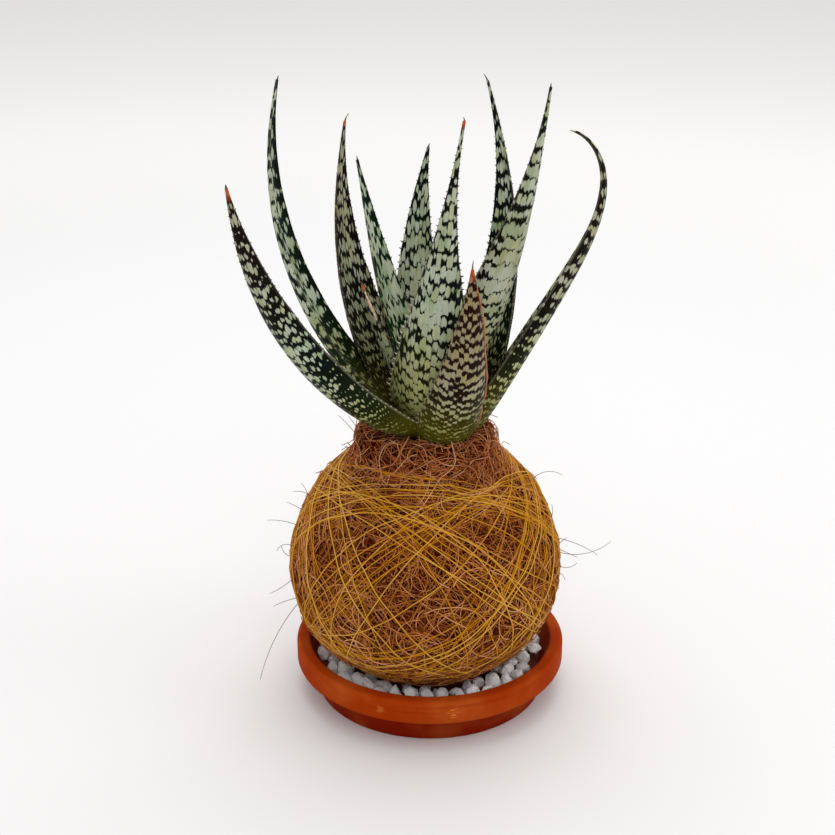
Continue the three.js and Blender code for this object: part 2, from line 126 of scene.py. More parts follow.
# Its look. cover and tan are shares at the base, the middle and the tip: how much of the skin is
# pale, and how browned it is, or how green below nought. spot is a pale spot's width and length
# and how deeply it is parted from the next one across. bands is how strongly the skin goes dark in
# bands, margins how much painted shade darkens the left and right margins, horn how pale the teeth
# are on the left (-) or right (+) margin, and dry the length of the red tip. tail is the withered
# spine's length and its turn sideways and inwards, olive how far up the leaf's olive foot reaches,
# and broad how much larger the spots near the base are than usual.
Look = namedtuple("Look", "cover tan spot bands margins horn dry tail olive broad", defaults=(0.27, 1))
# A low cover at the base of leaf_inner_left, leaf_back, leaf_back_left and leaf_left is partly painted
# shade between the leaves
LEAVES = {
    "leaf_young": (
        Growth(178, (28, 21), 1, (-2, -2), -2, 58, 15.5, 0.5, (4, 119.4)),
        Look((0.5, 0.6, 0.5), (0.1, 0.2, 0.7), (1.9, 5.4, 1), 0.8, (0, 0), -0.8, 1.6, (0, 0, 0))),
    "leaf_inner_left": (
        Growth(140, (26, 10), 1, (0, 4.5), 0, 103, 17.5, 1.2, (4, 119.4)),
        Look((0.05, 0.62, 0.4), (-1, -1, -0.2), (1.8, 8.6, 0.5), 0.6, (0.15, 0.3), -0.3, 0, (1.5, 0, 0))),
    "leaf_back": (
        Growth(88, (32, 6), 1, (15, -10.5), 0, 106.5, 25.5, 1.25, (4, 118.5)),
        Look((0.3, 0.7, 0.5), (0, 0.14, 0.05), (2.2, 6.4, 1), 0.35, (0.3, 0.25), -0.3, 0, (1.5, -20, 0))),
    "leaf_right_tall": (
        Growth(312, (27, 11.5), 1.65, (9, -2.5), -9.5, 145, 32, 1.7, (-3, 121)),
        Look((0.32, 0.66, 0.5), (-0.1, 0.24, 0.1), (2.4, 6, 0.78), 0.42, (0.32, 0.05), -0.5, 0,
             (1.5, 0, 0))),
    "leaf_front": (
        Growth(257, (22, -2), 1.2, (5, 9.5), 0, 131, 37, 2.2, (6, 117.6)),
        Look((0.58, 0.58, 0.5), (0, 0.06, 0.2), (2.3, 6, 0.92), 0.6, (0.34, 0.24), -1, 3, (1.6, -55, 0),
             0.17, 1.45)),
    "leaf_back_left": (
        Growth(132, (50, 1.5), 0.65, (15, -12), 6, 125, 24.5, 1.3, (6.5, 115.2)),
        Look((0.2, 0.55, 0.52), (0, 0.3, 0.5), (1.9, 6.4, 1.1), 0.25, (0.35, 0.35), -0.2, 2,
             (4.2, -75, 15))),
    "leaf_back_right": (
        Growth(50, (44, 1), 0.3, (-20, 21.5), 0, 137.5, 26, 1.6, (7, 115)),
        Look((0.3, 0.52, 0.46), (-0.3, 0, 0.1), (2.1, 6, 1), 0.5, (0.25, 0.2), -0.3, 0, (3.4, 35, 0))),
    "leaf_left": (
        Growth(178, (49.5, -13), 1.1, (-1, 6), -21, 153.5, 20, 1.05, (8, 115.5)),
        Look((0.02, 0.5, 0.43), (-0.6, -0.2, 0), (3, 7.4, 0.9), 0.6, (0.5, 0), -0.5, 0, (1.8, 0, 0))),
    "leaf_left_low": (
        Growth(210, (64, 12), 0.95, (10, 5), 50, 145.5, 25.5, 1.15, (8.5, 117)),
        Look((0.2, 0.42, 0.45), (-0.4, 0, 0.5), (1.75, 4.9, 0.95), 0.5, (0, 0.34), 0.5, 4.5, (0, 0, 0))),
    "leaf_right_curled": (
        Growth(348, (30, -71), 6.9, (5, -7), 0, 140.5, 21.5, 1, (10, 112)),
        Look((0.36, 0.48, 0.42), (-0.3, 0.3, 0.5), (2.3, 5.6, 0.9), 0.62, (0.32, 0), -0.2, 0,
             (2.2, 0, 10))),
    "leaf_front_short": (
        Growth(281, (41, 4), 1.3, (5.5, -1.5), 0, 92, 25.5, 1.1, (9.5, 112.3)),
        Look((0.1, 0.44, 0.4), (-0.5, 0.7, 0.95), (2.1, 4.6, 0.5), 0.34, (0.1, 0.15), -0.3, 4.5,
             (3.6, 12, -10), 0.46)),
}
# The stem's middle and the leaves' section, in millimetres or as shares of the width
STEM_X = 2
TIP_WIDTH = 0.9
TIP_LENGTH = 1.6
LEAF_THICKNESS = 0.27
LEAF_CHANNEL = 0.22
MARGIN_THICKNESS = 0.6
# A leaf is narrower at its base by the first share, within the second share of its length
BASE_NARROWING = 0.25
BASE_LENGTH = 0.18
# How far each leaf's pattern is moved from the last one's, across and along, in spots
PATTERN_SHIFT = (11.5, 5.3)
# A margin stands out by this much, halfway between the upper face at 0 and the lower one at 1
MARGIN_LIP = 0.14
ON_MARGIN = 0.5
# Rings along a leaf and along its tail
LEAF_RINGS = 150
TAIL_RINGS = 12
# What a ring of the tail adds to the share, which is 1 at the leaf's tip
TAIL_STEP = 0.001

# Dried strips along a leaf's margin: the leaf, the side (1 or -1), the shares of its length where
# the strip starts and ends, the strip's radius, how far it stands off and how pale it is
Strip = namedtuple("Strip", "leaf side first last radius off tone")
STRIPS = (
    Strip("leaf_front_short", 1, 0.02, 0.93, 0.36, 0.5, 0),
    Strip("leaf_young", 1, 0.76, 0.97, 0.45, 0.1, 0.8),
    Strip("leaf_right_curled", 1, 0.12, 0.4, 0.24, 0.1, 0.6),
)

# Golden turns that lie close together: lean and turn of their plane, in degrees, its offset as a
# share of the ball's radius, the number of strands and how far they spread, in degrees
Band = namedtuple("Band", "lean turn offset strands spread")
BANDS = (
    Band(47, 84, 0.2, 7, 1.7),
    Band(39, 62, 0.45, 4, 1.7),
    Band(43, 33, 0.1, 3, 1.8),
    Band(42, 35, 0.2, 2, 1.8),
    Band(50, 140, 0.05, 3, 2.5),
    Band(63, -68, 0.2, 3, 2.4),
    Band(66, -122, 0.1, 4, 3),
    Band(38, -130, 0.35, 4, 2),
    Band(52, -30, 0.1, 4, 2.4),
)
# How far a band's turns spread in offset for each degree, and the other turns' least and most lean,
# which steps by the golden section, and how much further from the neck they may lie
BAND_SPREAD = 0.012
LEAST_LEAN = 36
MOST_LEAN = 78
GOLDEN_STEP = 0.618
TURN_DROP = 0.24
# A turn of thread has to pass the neck, which reaches this far from the ball's top, in degrees,
# and keeps this radius clear. It lies this far off the mat and has this many points.
NECK_ANGLE = 33
NECK_RADIUS = 27.5 * MM
THREAD_LIFT = 1.05 * MM
TURN_POINTS = 120

# Kinds of fibre, in millimetres: fibres a square metre, points of each, least and most length and
# bow in radians, how far they curl, lift off and stray at their ends, the heights between which
# they lie, and their girth as a share
Fibres = namedtuple("Fibres", "name density points size bow curl lift stray heights girth")
FIBRES = (
    Fibres("coir_long_fibres", 44000, 18, (26, 60), (0.2, 2.2), 2.4, 1.3, 1.2, (9, 108), 1.3),
    Fibres("coir_curly_fibres", 70000, 14, (14, 36), (1.6, 4.6), 1.6, 1.6, 1, (9, 106), 1.3),
    Fibres("coir_short_fibres", 34000, 9, (7, 18), (0.6, 3), 2.4, 0.7, 1.4, (9, 106), 1),
    Fibres("coir_collar_fibres", 105000, 20, (16, 44), (0.4, 3.4), 2.6, 1.9, 4, (98, 117), 1.3),
    Fibres("coir_foot_fibres", 120000, 13, (10, 26), (0.8, 3.6), 1.8, 2.8, 1, (9, 32), 1.2),
)
# Fibres turn from the level by up to this either way, in radians
FIBRE_TURN = 3.14

# Loose wiry hairs that stand out of the ball: the turn round it and the height at which each one
# leaves it, how steeply it rises and how far aside it heads, how much it bends upwards and aside
# on its way, in degrees, and its length. The camera is at a turn of -90.
Hair = namedtuple("Hair", "turn height rise heading lift swing length")
HAIRS = (
    Hair(-2, 67, -12, 0, 10, -60, 20),
    Hair(-3, 63, -25, 0, 0, 0, 9),
    Hair(0, 60, -24, 0, 62, 10, 23),
    Hair(0, 61, 42, 0, 0, 0, 5),
    Hair(8, 87, 62, 0, -100, 0, 14),
    Hair(181, 71, 28, 0, -30, 0, 12),
    Hair(180, 77, 38, 0, -14, 0, 7),
    Hair(179, 73, 125, 0, -72, 0, 16),
    Hair(180, 49, -50, 0, 24, 0, 13),
    Hair(181, 39, -8, 0, -22, 0, 12),
    Hair(180, 39, -50, 0, -24, 28, 41),
    Hair(199, 110, 58, -10, -10, 0, 15),
    Hair(201, 112, 64, -10, -8, 0, 11),
    Hair(184, 84, 60, 0, -70, 0, 8),
    Hair(182, 60, 80, 0, -150, 0, 9),
    Hair(178, 56, -10, 0, 100, 0, 7),
    Hair(-4, 74, 50, 0, 60, 0, 7),
    Hair(-2, 56, -60, 0, 110, 0, 9),
    Hair(4, 48, 10, 0, -90, 0, 6),
    Hair(88, 84, 20, 20, -20, -70, 16),
    Hair(115, 52, -30, 10, 20, 80, 22),
    Hair(56, 66, 25, 0, -40, 30, 13),
)
# A hair's points, how deep in the ball it starts, and its radius at its root and its tip
HAIR_POINTS = 24
HAIR_ROOT = 2 * MM
HAIR_RADII = (0.16, 0.09)

# The stage, in metres and watts: half the floor's width, where the floor's shade is centred, the
# point that the lights face, each light's name, place, size and power, the width of the camera's
# sensor in millimetres and the nearest that it sees
FLOOR_REACH = 30
BRIGHTEST_FLOOR = (-0.1, 0.25, 0)
LIT_POINT = (0, 0, 0.1)
LIGHTS = (
    ("overhead", (0, 0.4, 1.2), 1.1, 6.5),
    ("front", (0.1, -1.12, 1.23), 1, 3.1),
    ("right", (1.1, -0.3, 0.9), 0.8, 1.6),
)
SENSOR_WIDTH = 36
NEAREST_SEEN = 0.01


def linear(red, green, blue):
    """A screen colour from 0 to 255 as the linear colour that shaders take"""
    shares = [value / 255 for value in (red, green, blue)]
    return tuple(s / 12.92 if s <= 0.04045 else ((s + 0.055) / 1.055) ** 2.4 for s in shares)


def length(name, description, default):
    return FloatProperty(name=name, description=description, default=default * MM,
                         unit="LENGTH", precision=5)


def tint(name, description, *screen):
    return FloatVectorProperty(name=name, description=description, default=linear(*screen),
                               subtype="COLOR", size=3, min=0, max=1)


class SaucerSettings(bpy.types.PropertyGroup):
    radius: length("Radius", "Outer radius of the upright band", 55)
    base_radius: length("Base radius", "Radius of the base's edge", 46.5)
    body_radius: length("Body radius", "Radius of the body just under the band", 49.5)
    band_bottom: length("Band bottom", "Height at which the band starts", 11.6)
    height: length("Height", "Height of the lip", 22)
    lip: length("Lip round", "Radius of the rounded lip", 1.8)
    rim_radius: length("Inner rim radius", "Inside radius just under the lip", 49.4)
    floor_radius: length("Inner floor radius", "Inside radius at the floor", 43)
    floor: length("Floor", "Thickness of the floor", 6)
    clay: tint("Clay", "Terracotta of the band", 158, 50, 1)
    # Painted shade under the band and inside, where the clay is also damp, and the colour of the streaks
    # from turning
    damp: tint("Damp clay", "Darker clay of the body and the inside", 124, 24, 2)
    chip: tint("Chip", "Pale scuffs on the clay", 232, 138, 62)


class GravelSettings(bpy.types.PropertyGroup):
    top: length("Top", "Height of the gravel between its pebbles", 14.6)
    spacing: length("Spacing", "Least distance between two pebbles of a layer", 5.6)
    pebble: length("Pebble", "Mean radius of a pebble", 3.05)
    seed: IntProperty(name="Seed", description="Changes how the pebbles lie", default=5)
    stone: tint("Stone", "White stone", 254, 253, 252)
    shade: tint("Shade", "The darker stones", 226, 225, 228)
    vein: tint("Vein", "Veins in the stone", 176, 172, 170)
    # Painted shade of the deep gaps between the pebbles, on the bed under them
    bed: tint("Bed", "Grit at the bottom of the gaps", 120, 62, 46)


class BallSettings(bpy.types.PropertyGroup):
    fibre: length("Fibre", "Radius of a coir fibre", 0.155)
    thread: length("Thread", "Radius of the golden thread", 0.24)
    turns: IntProperty(name="Turns", description="Loose turns of thread round the ball", default=60)
    seed: IntProperty(name="Seed", description="Changes how fibres and thread lie", default=3)
    # Painted shade of the deepest gaps between the fibres
    gap: tint("Gap", "The deepest gaps in the mat", 28, 6, 2)
    mat: tint("Mat", "The mat under the fibres", 86, 22, 2)
    # Painted shade for coir fibres that lie deep among the others
    deep: tint("Deep coir", "Fibres that lie deep", 98, 28, 2)
    dark: tint("Dark coir", "The darkest fibres", 100, 34, 5)
    # Colour of the dark patches on the front of the coir
    coir: tint("Coir", "Most of the coir fibres", 182, 105, 40)
    pale: tint("Pale coir", "The palest fibres", 228, 164, 112)
    smudge: tint("Smudge", "Soiled fibres", 36, 28, 24)
    # Painted shade for collar fibres that lie deep among the others
    collar_deep: tint("Deep collar", "Fibres deep in the collar", 80, 24, 6)
    collar_dark: tint("Dark collar", "The collar's darkest fibres", 104, 38, 14)
    collar: tint("Collar", "Most of the collar's fibres", 184, 106, 56)
    collar_pale: tint("Pale collar", "The collar's palest fibres", 232, 174, 130)
    dark_gold: tint("Dark gold", "The darkest turns of thread", 146, 84, 12)
    gold: tint("Gold", "Golden thread", 200, 134, 14)
    pale_gold: tint("Pale gold", "The palest turns of thread", 222, 170, 74)
    dark_hair: tint("Dark hair", "The darkest loose hairs", 52, 44, 42)
    pale_hair: tint("Pale hair", "The palest loose hairs", 132, 112, 100)


class LeafSettings(bpy.types.PropertyGroup):
    tooth: length("Tooth", "Height of a marginal tooth", 0.95)
    tooth_spacing: length("Tooth spacing", "Distance between two teeth", 2.7)
    ground: tint("Ground", "Dark skin between the spots", 5, 12, 4)
    cool_ground: tint("Cool ground", "Where the dark skin is bluish", 9, 17, 17)
    low_ground: tint("Low ground", "Dark skin low on a leaf", 28, 34, 4)
    spot: tint("Spot", "Pale spots", 185, 194, 173)
    green_spot: tint("Green spot", "The greenest spots", 152, 168, 132)
    yellow_spot: tint("Yellow spot", "A few yellower spots", 182, 176, 104)
    low_spot: tint("Low spot", "Spots near the base", 168, 170, 112)
    green_ground: tint("Green ground", "Dark skin where a leaf is greenest", 4, 38, 16)
    tan_ground: tint("Tan ground", "Dark skin where a leaf is browned", 36, 10, 6)
    tan_spot: tint("Tan spot", "Spots where a leaf is browned", 144, 124, 88)
    foot: tint("Foot", "Olive skin at the foot of a leaf", 96, 84, 10)
    margin: tint("Margin", "Thin line along a margin", 176, 174, 146)
    dry: tint("Dry tip", "Dried end of a leaf", 178, 80, 36)
    spine: tint("Spine", "Withered spine past a leaf's tip", 104, 90, 76)
    strip: tint("Dried strip", "Dried strip along a margin", 186, 104, 52)
    pale_strip: tint("Pale strip", "The palest dried strip", 216, 190, 166)
    horn: tint("Pale tooth", "The palest teeth", 240, 236, 218)
    tan_horn: tint("Tan tooth", "Pale teeth that are browned", 226, 204, 176)
    green_tooth: tint("Green tooth", "The darkest teeth", 44, 52, 34)
    brown_tooth: tint("Brown tooth", "Browner dark teeth", 126, 92, 70)


class InsideSettings(bpy.types.PropertyGroup):
    soil: tint("Soil", "Potting soil", 34, 22, 14)
    pale_soil: tint("Pale soil", "The palest soil", 84, 60, 42)
    stem: tint("Stem", "The plant's stem", 86, 92, 48)
    pale_stem: tint("Pale stem", "The palest parts of the stem", 132, 128, 84)


class StageSettings(bpy.types.PropertyGroup):
    distance: length("Distance", "From the camera to the point it looks at", 669)
    height: length("Height", "Height of the point that the camera looks at", 118.5)
    offset: length("Offset", "How far the camera stands to the left", 5.1)
    elevation: FloatProperty(name="Elevation", description="Camera's angle above the level",
                             default=math.radians(22.8), subtype="ANGLE")
    lens: FloatProperty(name="Lens", description="Focal length in millimetres", default=73.3,
                        subtype="DISTANCE_CAMERA")
    # The near floor is darker than the far one: painted shade that evens out the lights' bright pool
    near_floor: tint("Near floor", "Pale floor round the saucer", 234, 233, 233)
    far_floor: tint("Far floor", "Pale floor further off", 245, 244, 243)
    sky: FloatProperty(name="Sky", description="Strength of the even light all round",
                       default=0.76, subtype="FACTOR")


class KokedamaSettings(bpy.types.PropertyGroup):
    saucer: PointerProperty(type=SaucerSettings)
    gravel: PointerProperty(type=GravelSettings)
    ball: PointerProperty(type=BallSettings)
    leaf: PointerProperty(type=LeafSettings)
    inside: PointerProperty(type=InsideSettings)
    stage: PointerProperty(type=StageSettings)


def mix(low, high, share):
    return low + (high - low) * share


def along_leaf(values, share):
    """A value along a leaf, from its values at the base, the middle and the tip"""
    return np.interp(share, (0, 0.5, 1), values)


def in_metres(millimetres):
    return tuple(value * MM for value in millimetres)


# Node trees
class Value:
    """A node's output, which is added, subtracted, multiplied and divided as numbers and vectors are"""

    def __init__(self, nodes, socket):
        self.nodes = nodes
        self.socket = socket

    def __add__(self, other):
        return self.nodes.reckon("ADD", self, other)

    def __sub__(self, other):
        return self.nodes.reckon("SUBTRACT", self, other)

    def __rsub__(self, other):
        return self.nodes.reckon("SUBTRACT", other, self)

    def __mul__(self, other):
        return self.nodes.reckon("MULTIPLY", self, other)

    def __truediv__(self, other):
        return self.nodes.reckon("DIVIDE", self, other)

    def __rtruediv__(self, other):
        return self.nodes.reckon("DIVIDE", other, self)


def is_vector(value):
    return isinstance(value, tuple) or isinstance(value, Value) and value.socket.type in ("VECTOR", "RGBA")


class Nodes:
    """Adds nodes to one tree. An input may be a number, a vector or another node's output."""

    def __init__(self, tree, material=None):
        self.tree = tree
        self.material = material

    def plug(self, value, socket):
        if isinstance(value, Value):
            self.tree.links.new(value.socket, socket)
        else:
            socket.default_value = value

    def add(self, kind, inputs=None, output=0, **settings):
        made = self.tree.nodes.new(kind)
        for name, value in settings.items():
            setattr(made, name, value)
        for name, value in (inputs or {}).items():
            self.plug(value, made.inputs[name])
        return Value(self, made.outputs[output])

    def math(self, operation, *values):
        return self.add("ShaderNodeMath", dict(enumerate(values)), operation=operation)

    def vector(self, operation, *values, output=0):
        return self.add("ShaderNodeVectorMath", dict(enumerate(values)), output, operation=operation)

    def reckon(self, operation, first, second):
        """Works on two numbers or vectors. A vector times a number is scaled by it."""
        vectors = is_vector(first), is_vector(second)
        if operation == "MULTIPLY" and vectors == (True, False):
            return self.add("ShaderNodeVectorMath", {0: first, "Scale": second}, operation="SCALE")
        return (self.vector if any(vectors) else self.math)(operation, first, second)

    def size(self, vector):
        return self.vector("LENGTH", vector, output=1)

    def join(self, x, y, z):
        return self.add("ShaderNodeCombineXYZ", {0: x, 1: y, 2: z})

    def split(self, vector, output):
        return self.add("ShaderNodeSeparateXYZ", {0: vector}, output)

    def blend(self, factor, low, high):
        return self.add("ShaderNodeMix", {0: factor, 2: low, 3: high})

    def colour(self, factor, low, high):
        low, high = (value if isinstance(value, Value) else (*value, 1) for value in (low, high))
        return self.add("ShaderNodeMix", {0: factor, 6: low, 7: high}, 2, data_type="RGBA")

    def step(self, value, low, high):
        """0 at low, 1 at high and smooth between"""
        return self.add("ShaderNodeMapRange", {0: value, 1: low, 2: high}, interpolation_type="SMOOTHSTEP")

    def noise(self, vector, scale, detail=2, output=0):
        return self.add("ShaderNodeTexNoise", {"Vector": vector, "Scale": scale, "Detail": detail}, output)

    def wander(self, vector, scale, detail=1):
        """A smooth random vector round nought"""
        return self.noise(vector, scale, detail, 1) - (0.5, 0.5, 0.5)

    def object_place(self):
        return self.add("ShaderNodeTexCoord", output=3)

    def attribute(self, name):
        return self.add("ShaderNodeAttribute", output=2, attribute_name=name)

    def surface(self, colour, roughness, shine, bump=None, depth=0):
        """Ends a material: its shader's colour, roughness, shine and bump height"""
        inputs = {"Base Color": colour, "Roughness": roughness, "Specular IOR Level": shine}
        if bump:
            inputs["Normal"] = self.add("ShaderNodeBump", {"Height": bump, "Distance": depth})
        for name, value in inputs.items():
            self.plug(value, self.tree.nodes["Principled BSDF"].inputs[name])
        return self.material

    def position(self):
        return self.add("GeometryNodeInputPosition")

    def random(self, low, high, seed):
        return self.add("FunctionNodeRandomValue", {2: low, 3: high, "Seed": seed}, 1)

    def random_vector(self, low, high, seed):
        inputs = {0: low, 1: high, "Seed": seed}
        return self.add("FunctionNodeRandomValue", inputs, data_type="FLOAT_VECTOR")

    def named(self, name, kind="FLOAT"):
        return self.add("GeometryNodeInputNamedAttribute", {"Name": name}, data_type=kind)

    def named_vector(self, name):
        return self.named(name, "FLOAT_VECTOR")

    def store(self, geometry, domain="POINT", **values):
        """Keeps numbers and vectors on a geometry under their names"""
        for name, value in values.items():
            geometry = self.add("GeometryNodeStoreNamedAttribute", {
                "Geometry": geometry, "Name": name, "Value": value},
                data_type="FLOAT_VECTOR" if is_vector(value) else "FLOAT", domain=domain)
        return geometry

    def move(self, geometry, place):
        return self.add("GeometryNodeSetPosition", {"Geometry": geometry, "Position": place})

    def copies(self, points, shape, **more):
        """Puts a copy of a shape on each point, and may turn and scale it"""
        inputs = {"Points": points, "Instance": shape, **more}
        return self.add("GeometryNodeInstanceOnPoints", inputs)

    def realize(self, copies):
        return self.add("GeometryNodeRealizeInstances", {"Geometry": copies})

    def turn_to(self, vector, axis):
        return self.add("FunctionNodeAlignRotationToVector", {"Vector": vector}, axis=axis)

    def lay(self, geometry, surface, lift):
        """Moves points to the nearest place of a surface, lifted off it"""
        nearest = self.add("GeometryNodeProximity", {0: surface}, target_element="FACES")
        outward = self.add("GeometryNodeSampleNearestSurface", {
            "Mesh": surface, "Value": self.add("GeometryNodeInputNormal")}, data_type="FLOAT_VECTOR")
        return self.move(geometry, nearest + outward * lift)

    def strand(self, curve, sides, girth, caps):
        """A smooth strand along a curve"""
        section = self.add("GeometryNodeCurvePrimitiveCircle", {"Resolution": sides, "Radius": 1})
        body = self.add("GeometryNodeCurveToMesh", {
            "Curve": curve, "Profile Curve": section, "Scale": girth, "Fill Caps": caps})
        return self.add("GeometryNodeSetShadeSmooth", {"Geometry": body})

    def finish(self, geometry, material, beside=None):
        """Ends a geometry tree with a material, joined to what it stands on if that is given"""
        done = self.add("GeometryNodeSetMaterial", {"Geometry": geometry, "Material": material})
        if beside:
            both = self.tree.nodes.new("GeometryNodeJoinGeometry")
            for part in (done, beside):
                self.plug(part, both.inputs[0])
            done = Value(self, both.outputs[0])
        self.plug(done, self.tree.nodes.new("NodeGroupOutput").inputs[0])
        return self.tree


def new_material(name):
    """The nodes of a new material"""
    material = bpy.data.materials.new(name)
    material.use_nodes = True
    return Nodes(material.node_tree, material)


def new_tree(name, **kinds):
    """A geometry tree with inputs that are listed by kind after its geometry: its nodes and inputs"""
    tree = bpy.data.node_groups.new(name, "GeometryNodeTree")
    for kind, labels in {"Geometry": ("Geometry",), **kinds}.items():
        for label in labels:
            tree.interface.new_socket(label, in_out="INPUT", socket_type="NodeSocket" + kind)
    tree.interface.new_socket("Geometry", in_out="OUTPUT", socket_type="NodeSocketGeometry")
    nodes = Nodes(tree)
    return nodes, {socket.name: Value(nodes, socket) for socket in tree.nodes.new("NodeGroupInput").outputs}


def grow(piece, tree, values):
    """Runs a geometry tree on a piece and leaves the result as its plain mesh"""
    modifier = piece.modifiers.new(tree.name, "NODES")
    modifier.node_group = tree
    sockets = {item.name: item.identifier for item in tree.interface.items_tree if item.in_out == "INPUT"}
    for label, value in values.items():
        modifier[sockets[label]] = value
    depsgraph = bpy.context.evaluated_depsgraph_get()
    mesh = bpy.data.meshes.new_from_object(
        piece.evaluated_get(depsgraph), preserve_all_data_layers=True, depsgraph=depsgraph)
    piece.modifiers.clear()
    piece.data = mesh
    return piece


# Meshes
def new_piece(name, points, faces, material=None):
    """An object with a smooth mesh of its own"""
    mesh = bpy.data.meshes.new(name)
    mesh.from_pydata([tuple(point) for point in points], [], faces)
    mesh.shade_smooth()
    piece = bpy.data.objects.new(name, mesh)
    bpy.context.scene.collection.objects.link(piece)
    if material:
        mesh.materials.append(material)
    return piece


def point_outwards(piece):
    """Turns all faces of a piece outwards"""
    shape = bmesh.new()
    shape.from_mesh(piece.data)
    bmesh.ops.recalc_face_normals(shape, faces=shape.faces)
    shape.to_mesh(piece.data)
    shape.free()
    return piece


def keep(piece, **attributes):
    """Keeps a number, truth or vector for each point of a piece under each name"""
    for name, values in attributes.items():
        values = np.asarray(values)
        if values.ndim == 2:
            layer = piece.data.attributes.new(name, "FLOAT_VECTOR", "POINT")
            layer.data.foreach_set("vector", values.astype(np.float32).ravel())
        elif values.dtype == bool:
            piece.data.attributes.new(name, "BOOLEAN", "POINT").data.foreach_set("value", values)
        else:
            layer = piece.data.attributes.new(name, "FLOAT", "POINT")
            layer.data.foreach_set("value", values.astype(np.float32))


def place(piece, slot, *nodes):
    """Gives a finished piece its body and hides the nodes that it stands for. Its slot is not used."""
    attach(piece, "root")
    if nodes:
        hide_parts(*nodes)


def ring_faces(first, count):
    """The faces between the ring of points that starts at first and the next ring"""
    return [(first + i, first + (i + 1) % count, first + count + (i + 1) % count, first + count + i)
            for i in range(count)]


def arc(centre, radius, start, end, steps):
    """Points on an arc between two angles, in degrees"""
    angles = np.radians(np.linspace(start, end, steps))
    return [(centre[0] + radius * math.cos(a), centre[1] + radius * math.sin(a)) for a in angles]


def slope(start, end, shares):
    """Points at shares of the way from one point to another"""
    return [tuple(mix(a, b, share) for a, b in zip(start, end)) for share in shares]


def lathe(name, profile, steps, material, shift=0.0):
    """Turns a profile of (radius, height), from axis to axis, into a closed piece"""
    inner = profile[1:-1]
    turns = np.linspace(0, 2 * math.pi, steps, endpoint=False)
    points = [(shift + r * math.cos(a), r * math.sin(a), z) for r, z in inner for a in turns]
    points += [(shift, 0, profile[0][1]), (shift, 0, profile[-1][1])]
    low, high = len(points) - 2, len(points) - 1
    top = (len(inner) - 1) * steps
    faces = []
    for i in range(steps):
        j = (i + 1) % steps
        faces.append((low, j, i))
        faces.append((high, i + top, j + top))
        faces += [(row + i, row + j, row + steps + j, row + steps + i) for row in range(0, top, steps)]
    return point_outwards(new_piece(name, points, faces, material))


def tubes(name, paths, material, sides=6):
    """Closed tubes along (points, radii, tone) paths, in one piece"""
    points, faces, tones = [], [], []
    turns = np.linspace(0, 2 * math.pi, sides, endpoint=False)
    across_all = (0.31, 0.52, 0.79)
    for path, radii, tone in paths:
        tones += [tone] * sides * len(path)
        along = np.gradient(path, axis=0)
        side = np.cross(along, across_all)
        side /= np.linalg.norm(side, axis=1)[:, None]
        up = np.cross(side, along)
        up /= np.linalg.norm(up, axis=1)[:, None]
        first = len(points)
        for centre, radius, s, u in zip(path, radii, side, up):
            points.extend(centre + radius * (math.cos(a) * s + math.sin(a) * u) for a in turns)
        last = first + (len(path) - 1) * sides
        faces += [tuple(range(end, end + sides)) for end in (first, last)]
        for row in range(first, last, sides):
            faces += ring_faces(row, sides)
    piece = point_outwards(new_piece(name, points, faces, material))
    keep(piece, tone=tones)
    return piece


# Saucer
def clay_material(s):
    """Terracotta with painted shade under the band and inside, where the clay is also damp, streaked round
    by turning, worn pale in spots and with pale flecks on the front of the band
    """
    nodes = new_material("terracotta")
    spot = nodes.object_place()
    cloud = nodes.noise(spot, 45, 4)
    grit = nodes.noise(spot, 900, 3)
    rings = nodes.noise(spot * (14, 14, 620), 1, 3)
    # Painted shade: the body under the band and the inside wall are darkened; the inside is also damp clay
    body = nodes.step(nodes.split(spot, 2), s.band_bottom + 1 * MM, s.band_bottom - 0.6 * MM)
    inside = nodes.step(nodes.size(spot * (1, 1, 0)), s.rim_radius + 1.4 * MM, s.rim_radius - 1 * MM)
    base = nodes.colour(nodes.math("MAXIMUM", body, inside), s.clay, s.damp)
    mottled = nodes.colour(nodes.step(cloud, 0.4, 0.75) * 0.55, base, nodes.colour(0.35, base, s.chip))
    streaked = nodes.colour(nodes.step(rings, 0.48, 0.75) * 0.45, mottled, s.damp)
    worn = nodes.step(nodes.noise(spot * (260, 260, 800), 1, 3), 0.76, 0.8) * 0.7
    fleck_noise = nodes.noise(spot * (240, 240, 1100), 1, 2)
    # Pale flecks at the listed places on the front of the band
    for middle, size, paleness in PALE_FLECKS:
        away = nodes.vector("DISTANCE", spot, in_metres(middle), output=1)
        near = nodes.step(away, size * MM, 0)
        worn = worn + nodes.step(fleck_noise + near * 0.3, 0.7, 0.88) * near * (0.95 * paleness)
    colour = nodes.colour(worn, streaked, s.chip)
    return nodes.surface(colour, nodes.blend(cloud, 0.55, 0.75), 0.02, rings * 0.7 + grit * 0.3, 0.09 * MM)


